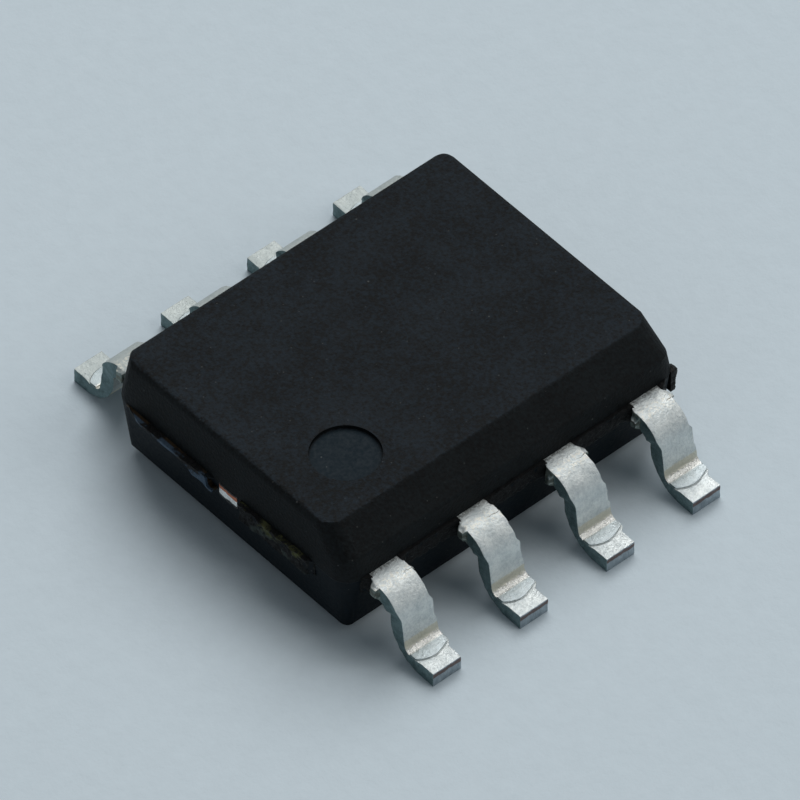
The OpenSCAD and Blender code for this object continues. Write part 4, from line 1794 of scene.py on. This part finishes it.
@dataclass
class Studio:
    """Pale floor, soft lamps and the camera."""

    card: Material
    azimuth: float = math.radians(-41.34)
    elevation: float = math.radians(47.62)
    distance: float = 180.0
    lens: float = 732.7
    aim: Place = (0.242, 0.209, 0.289)
    floor_size: float = 4000.0
    sky: Colour = linear(222, 234, 242)
    sky_strength: float = 0.17
    lamps: tuple[Lamp, ...] = (
        Lamp("key_soft_box", (0.42, 0.42, 0.80), 0.30, 0.24, 0.54, (0.985, 0.995, 1.0)),
        Lamp("front_soft_box", (0.45, -0.58, 0.68), 0.30, 0.20, 0.18, (1.0, 0.99, 0.97)),
        Lamp("left_fill", (-0.9, -0.1, 0.55), 0.35, 0.20, 0.02, (0.90, 0.96, 1.0)),
    )

    def build(self) -> None:
        """Sets up the floor, the lamps, the world and the camera."""
        self._lay_floor()
        target = Vector(self.aim) * MM
        for lamp in self.lamps:
            lamp.hang(target)
        self._light_world()
        self._place_camera(target)
        bpy.context.scene.view_settings.view_transform = "Standard"

    def _lay_floor(self) -> None:
        """Lays the pale card that the chip stands on."""
        size = self.floor_size * MM
        bpy.ops.mesh.primitive_plane_add(size=size)
        floor = bpy.context.object
        floor.name = "pale_floor"
        floor.data.materials.append(self.card)

    def _light_world(self) -> None:
        """Fills the surroundings with a soft sky."""
        world = bpy.data.worlds.new("soft_sky")
        world.use_nodes = True
        background = world.node_tree.nodes["Background"]
        background.inputs["Color"].default_value = (*self.sky, 1.0)
        background.inputs["Strength"].default_value = self.sky_strength
        bpy.context.scene.world = world

    def _place_camera(self, target: Vector) -> None:
        """Places the camera on its sight line."""
        data = bpy.data.cameras.new("bench_camera")
        data.lens = self.lens
        data.sensor_width = 36.0
        data.clip_start = 0.001
        data.clip_end = 50.0
        camera = bpy.data.objects.new("bench_camera", data)
        bpy.context.scene.collection.objects.link(camera)
        flat = math.cos(self.elevation)
        across, along = math.sin(self.azimuth) * flat, -math.cos(self.azimuth) * flat
        away = Vector((across, along, math.sin(self.elevation)))
        camera.location = target + away * self.distance * MM
        camera.rotation_euler = (-away).to_track_quat("-Z", "Y").to_euler()
        bpy.context.scene.camera = camera


# ---------------------------------------------------------------- the whole


def main() -> None:
    """Builds the chip's looks in order."""
    logging.basicConfig(level=logging.INFO, format="%(name)s: %(message)s")
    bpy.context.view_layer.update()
    bpy.ops.object.select_all(action="DESELECT")

    lead = GullWingLead.from_frame()
    body = MouldBody(lead)
    bed_low, _ = box_mm("die_attach")
    _, chip_high = box_mm("silicon_chip")
    pad_height = 0.004

    compound = MouldCompound(
        parting_z=lead.top_z, dimple=body.dimple, dimple_floor=body.top_z - body.dimple_depth
    ).build()
    crumbs = BrokenResin(
        name="web_resin",
        start=lead.top_z - 0.15,
        end=lead.top_z,
        first=linear(34, 33, 32),
        second=linear(30, 26, 22),
        share=0.58,
    ).build()
    # The gate scar's paler grey-green and olive patches are painted highlights.
    gate_scar = BrokenResin(
        name="gate_resin",
        start=lead.top_z - 0.14,
        end=lead.top_z - 0.08,
        first=linear(52, 60, 57),
        second=linear(80, 82, 50),
        patch=0.20,
        share=0.49,
    ).build()
    # The flash's pale bluish patches, towards its outer edge, are painted highlight.
    flash_edge = BrokenResin(
        name="flash_resin",
        start=body.half_l + 0.030,
        end=body.half_l + 0.050,
        first=linear(58, 44, 25),
        second=linear(68, 86, 104),
        axis=Axis.X,
        patch=0.16,
        share=0.43,
    ).build()
    tin = TinPlate(
        dam_u=lead.dam_u + lead.dam_width,
        body_u=lead.body_u,
        pitch=lead.pitch,
        heel_u=lead.heel_u,
        heel_z=lead.heel_z,
        foot_z=lead.thickness,
    ).build()
    # The toe's bluish grey tones are partly painted reflection of a blue ground.
    toe = ShearedMetal(name="sheared_toe", torn_z=lead.thickness - 0.045, torn_half=0.022).build()
    stub = ShearedMetal(
        name="sheared_stub",
        torn_z=lead.top_z - 0.10,
        torn_half=0.02,
        copper=linear(96, 88, 76),
        dull=linear(112, 122, 116),
        smear=linear(150, 160, 154),
        torn_share=0.5,
    ).build()
    tie_end = ShearedMetal(
        name="torn_tie_bar",
        torn_z=lead.top_z - 0.045,
        torn_half=0.026,
        bare_low=lead.top_z - lead.thickness + 0.042,
        bare_high=lead.top_z - 0.028,
        copper=linear(190, 104, 62),
        dull=linear(232, 232, 230),
        smear=linear(252, 252, 250),
        torn_share=0.92,
    ).build()
    copper = LeadFrameCopper(silver_z=bed_low.z).build()

    body.build(compound, crumbs, gate_scar, flash_edge)
    LeadRows(lead=lead, plate=tin, toe=toe, stub=stub).build()
    DiePaddle(copper=copper, cut=tie_end).build()
    gold = GoldWire().build()
    finishes = {
        "die_attach": SilverEpoxy().build(),
        "silicon_chip": PatternedSilicon(top_z=chip_high.z - pad_height).build(),
    }
    finishes.update({f"bond_wire_{number}": gold for number in range(1, LEADS + 1)})
    InnerParts(finishes).dress()
    Studio(card=PaleCard().build()).build()


if __name__ == "__main__":
    main()
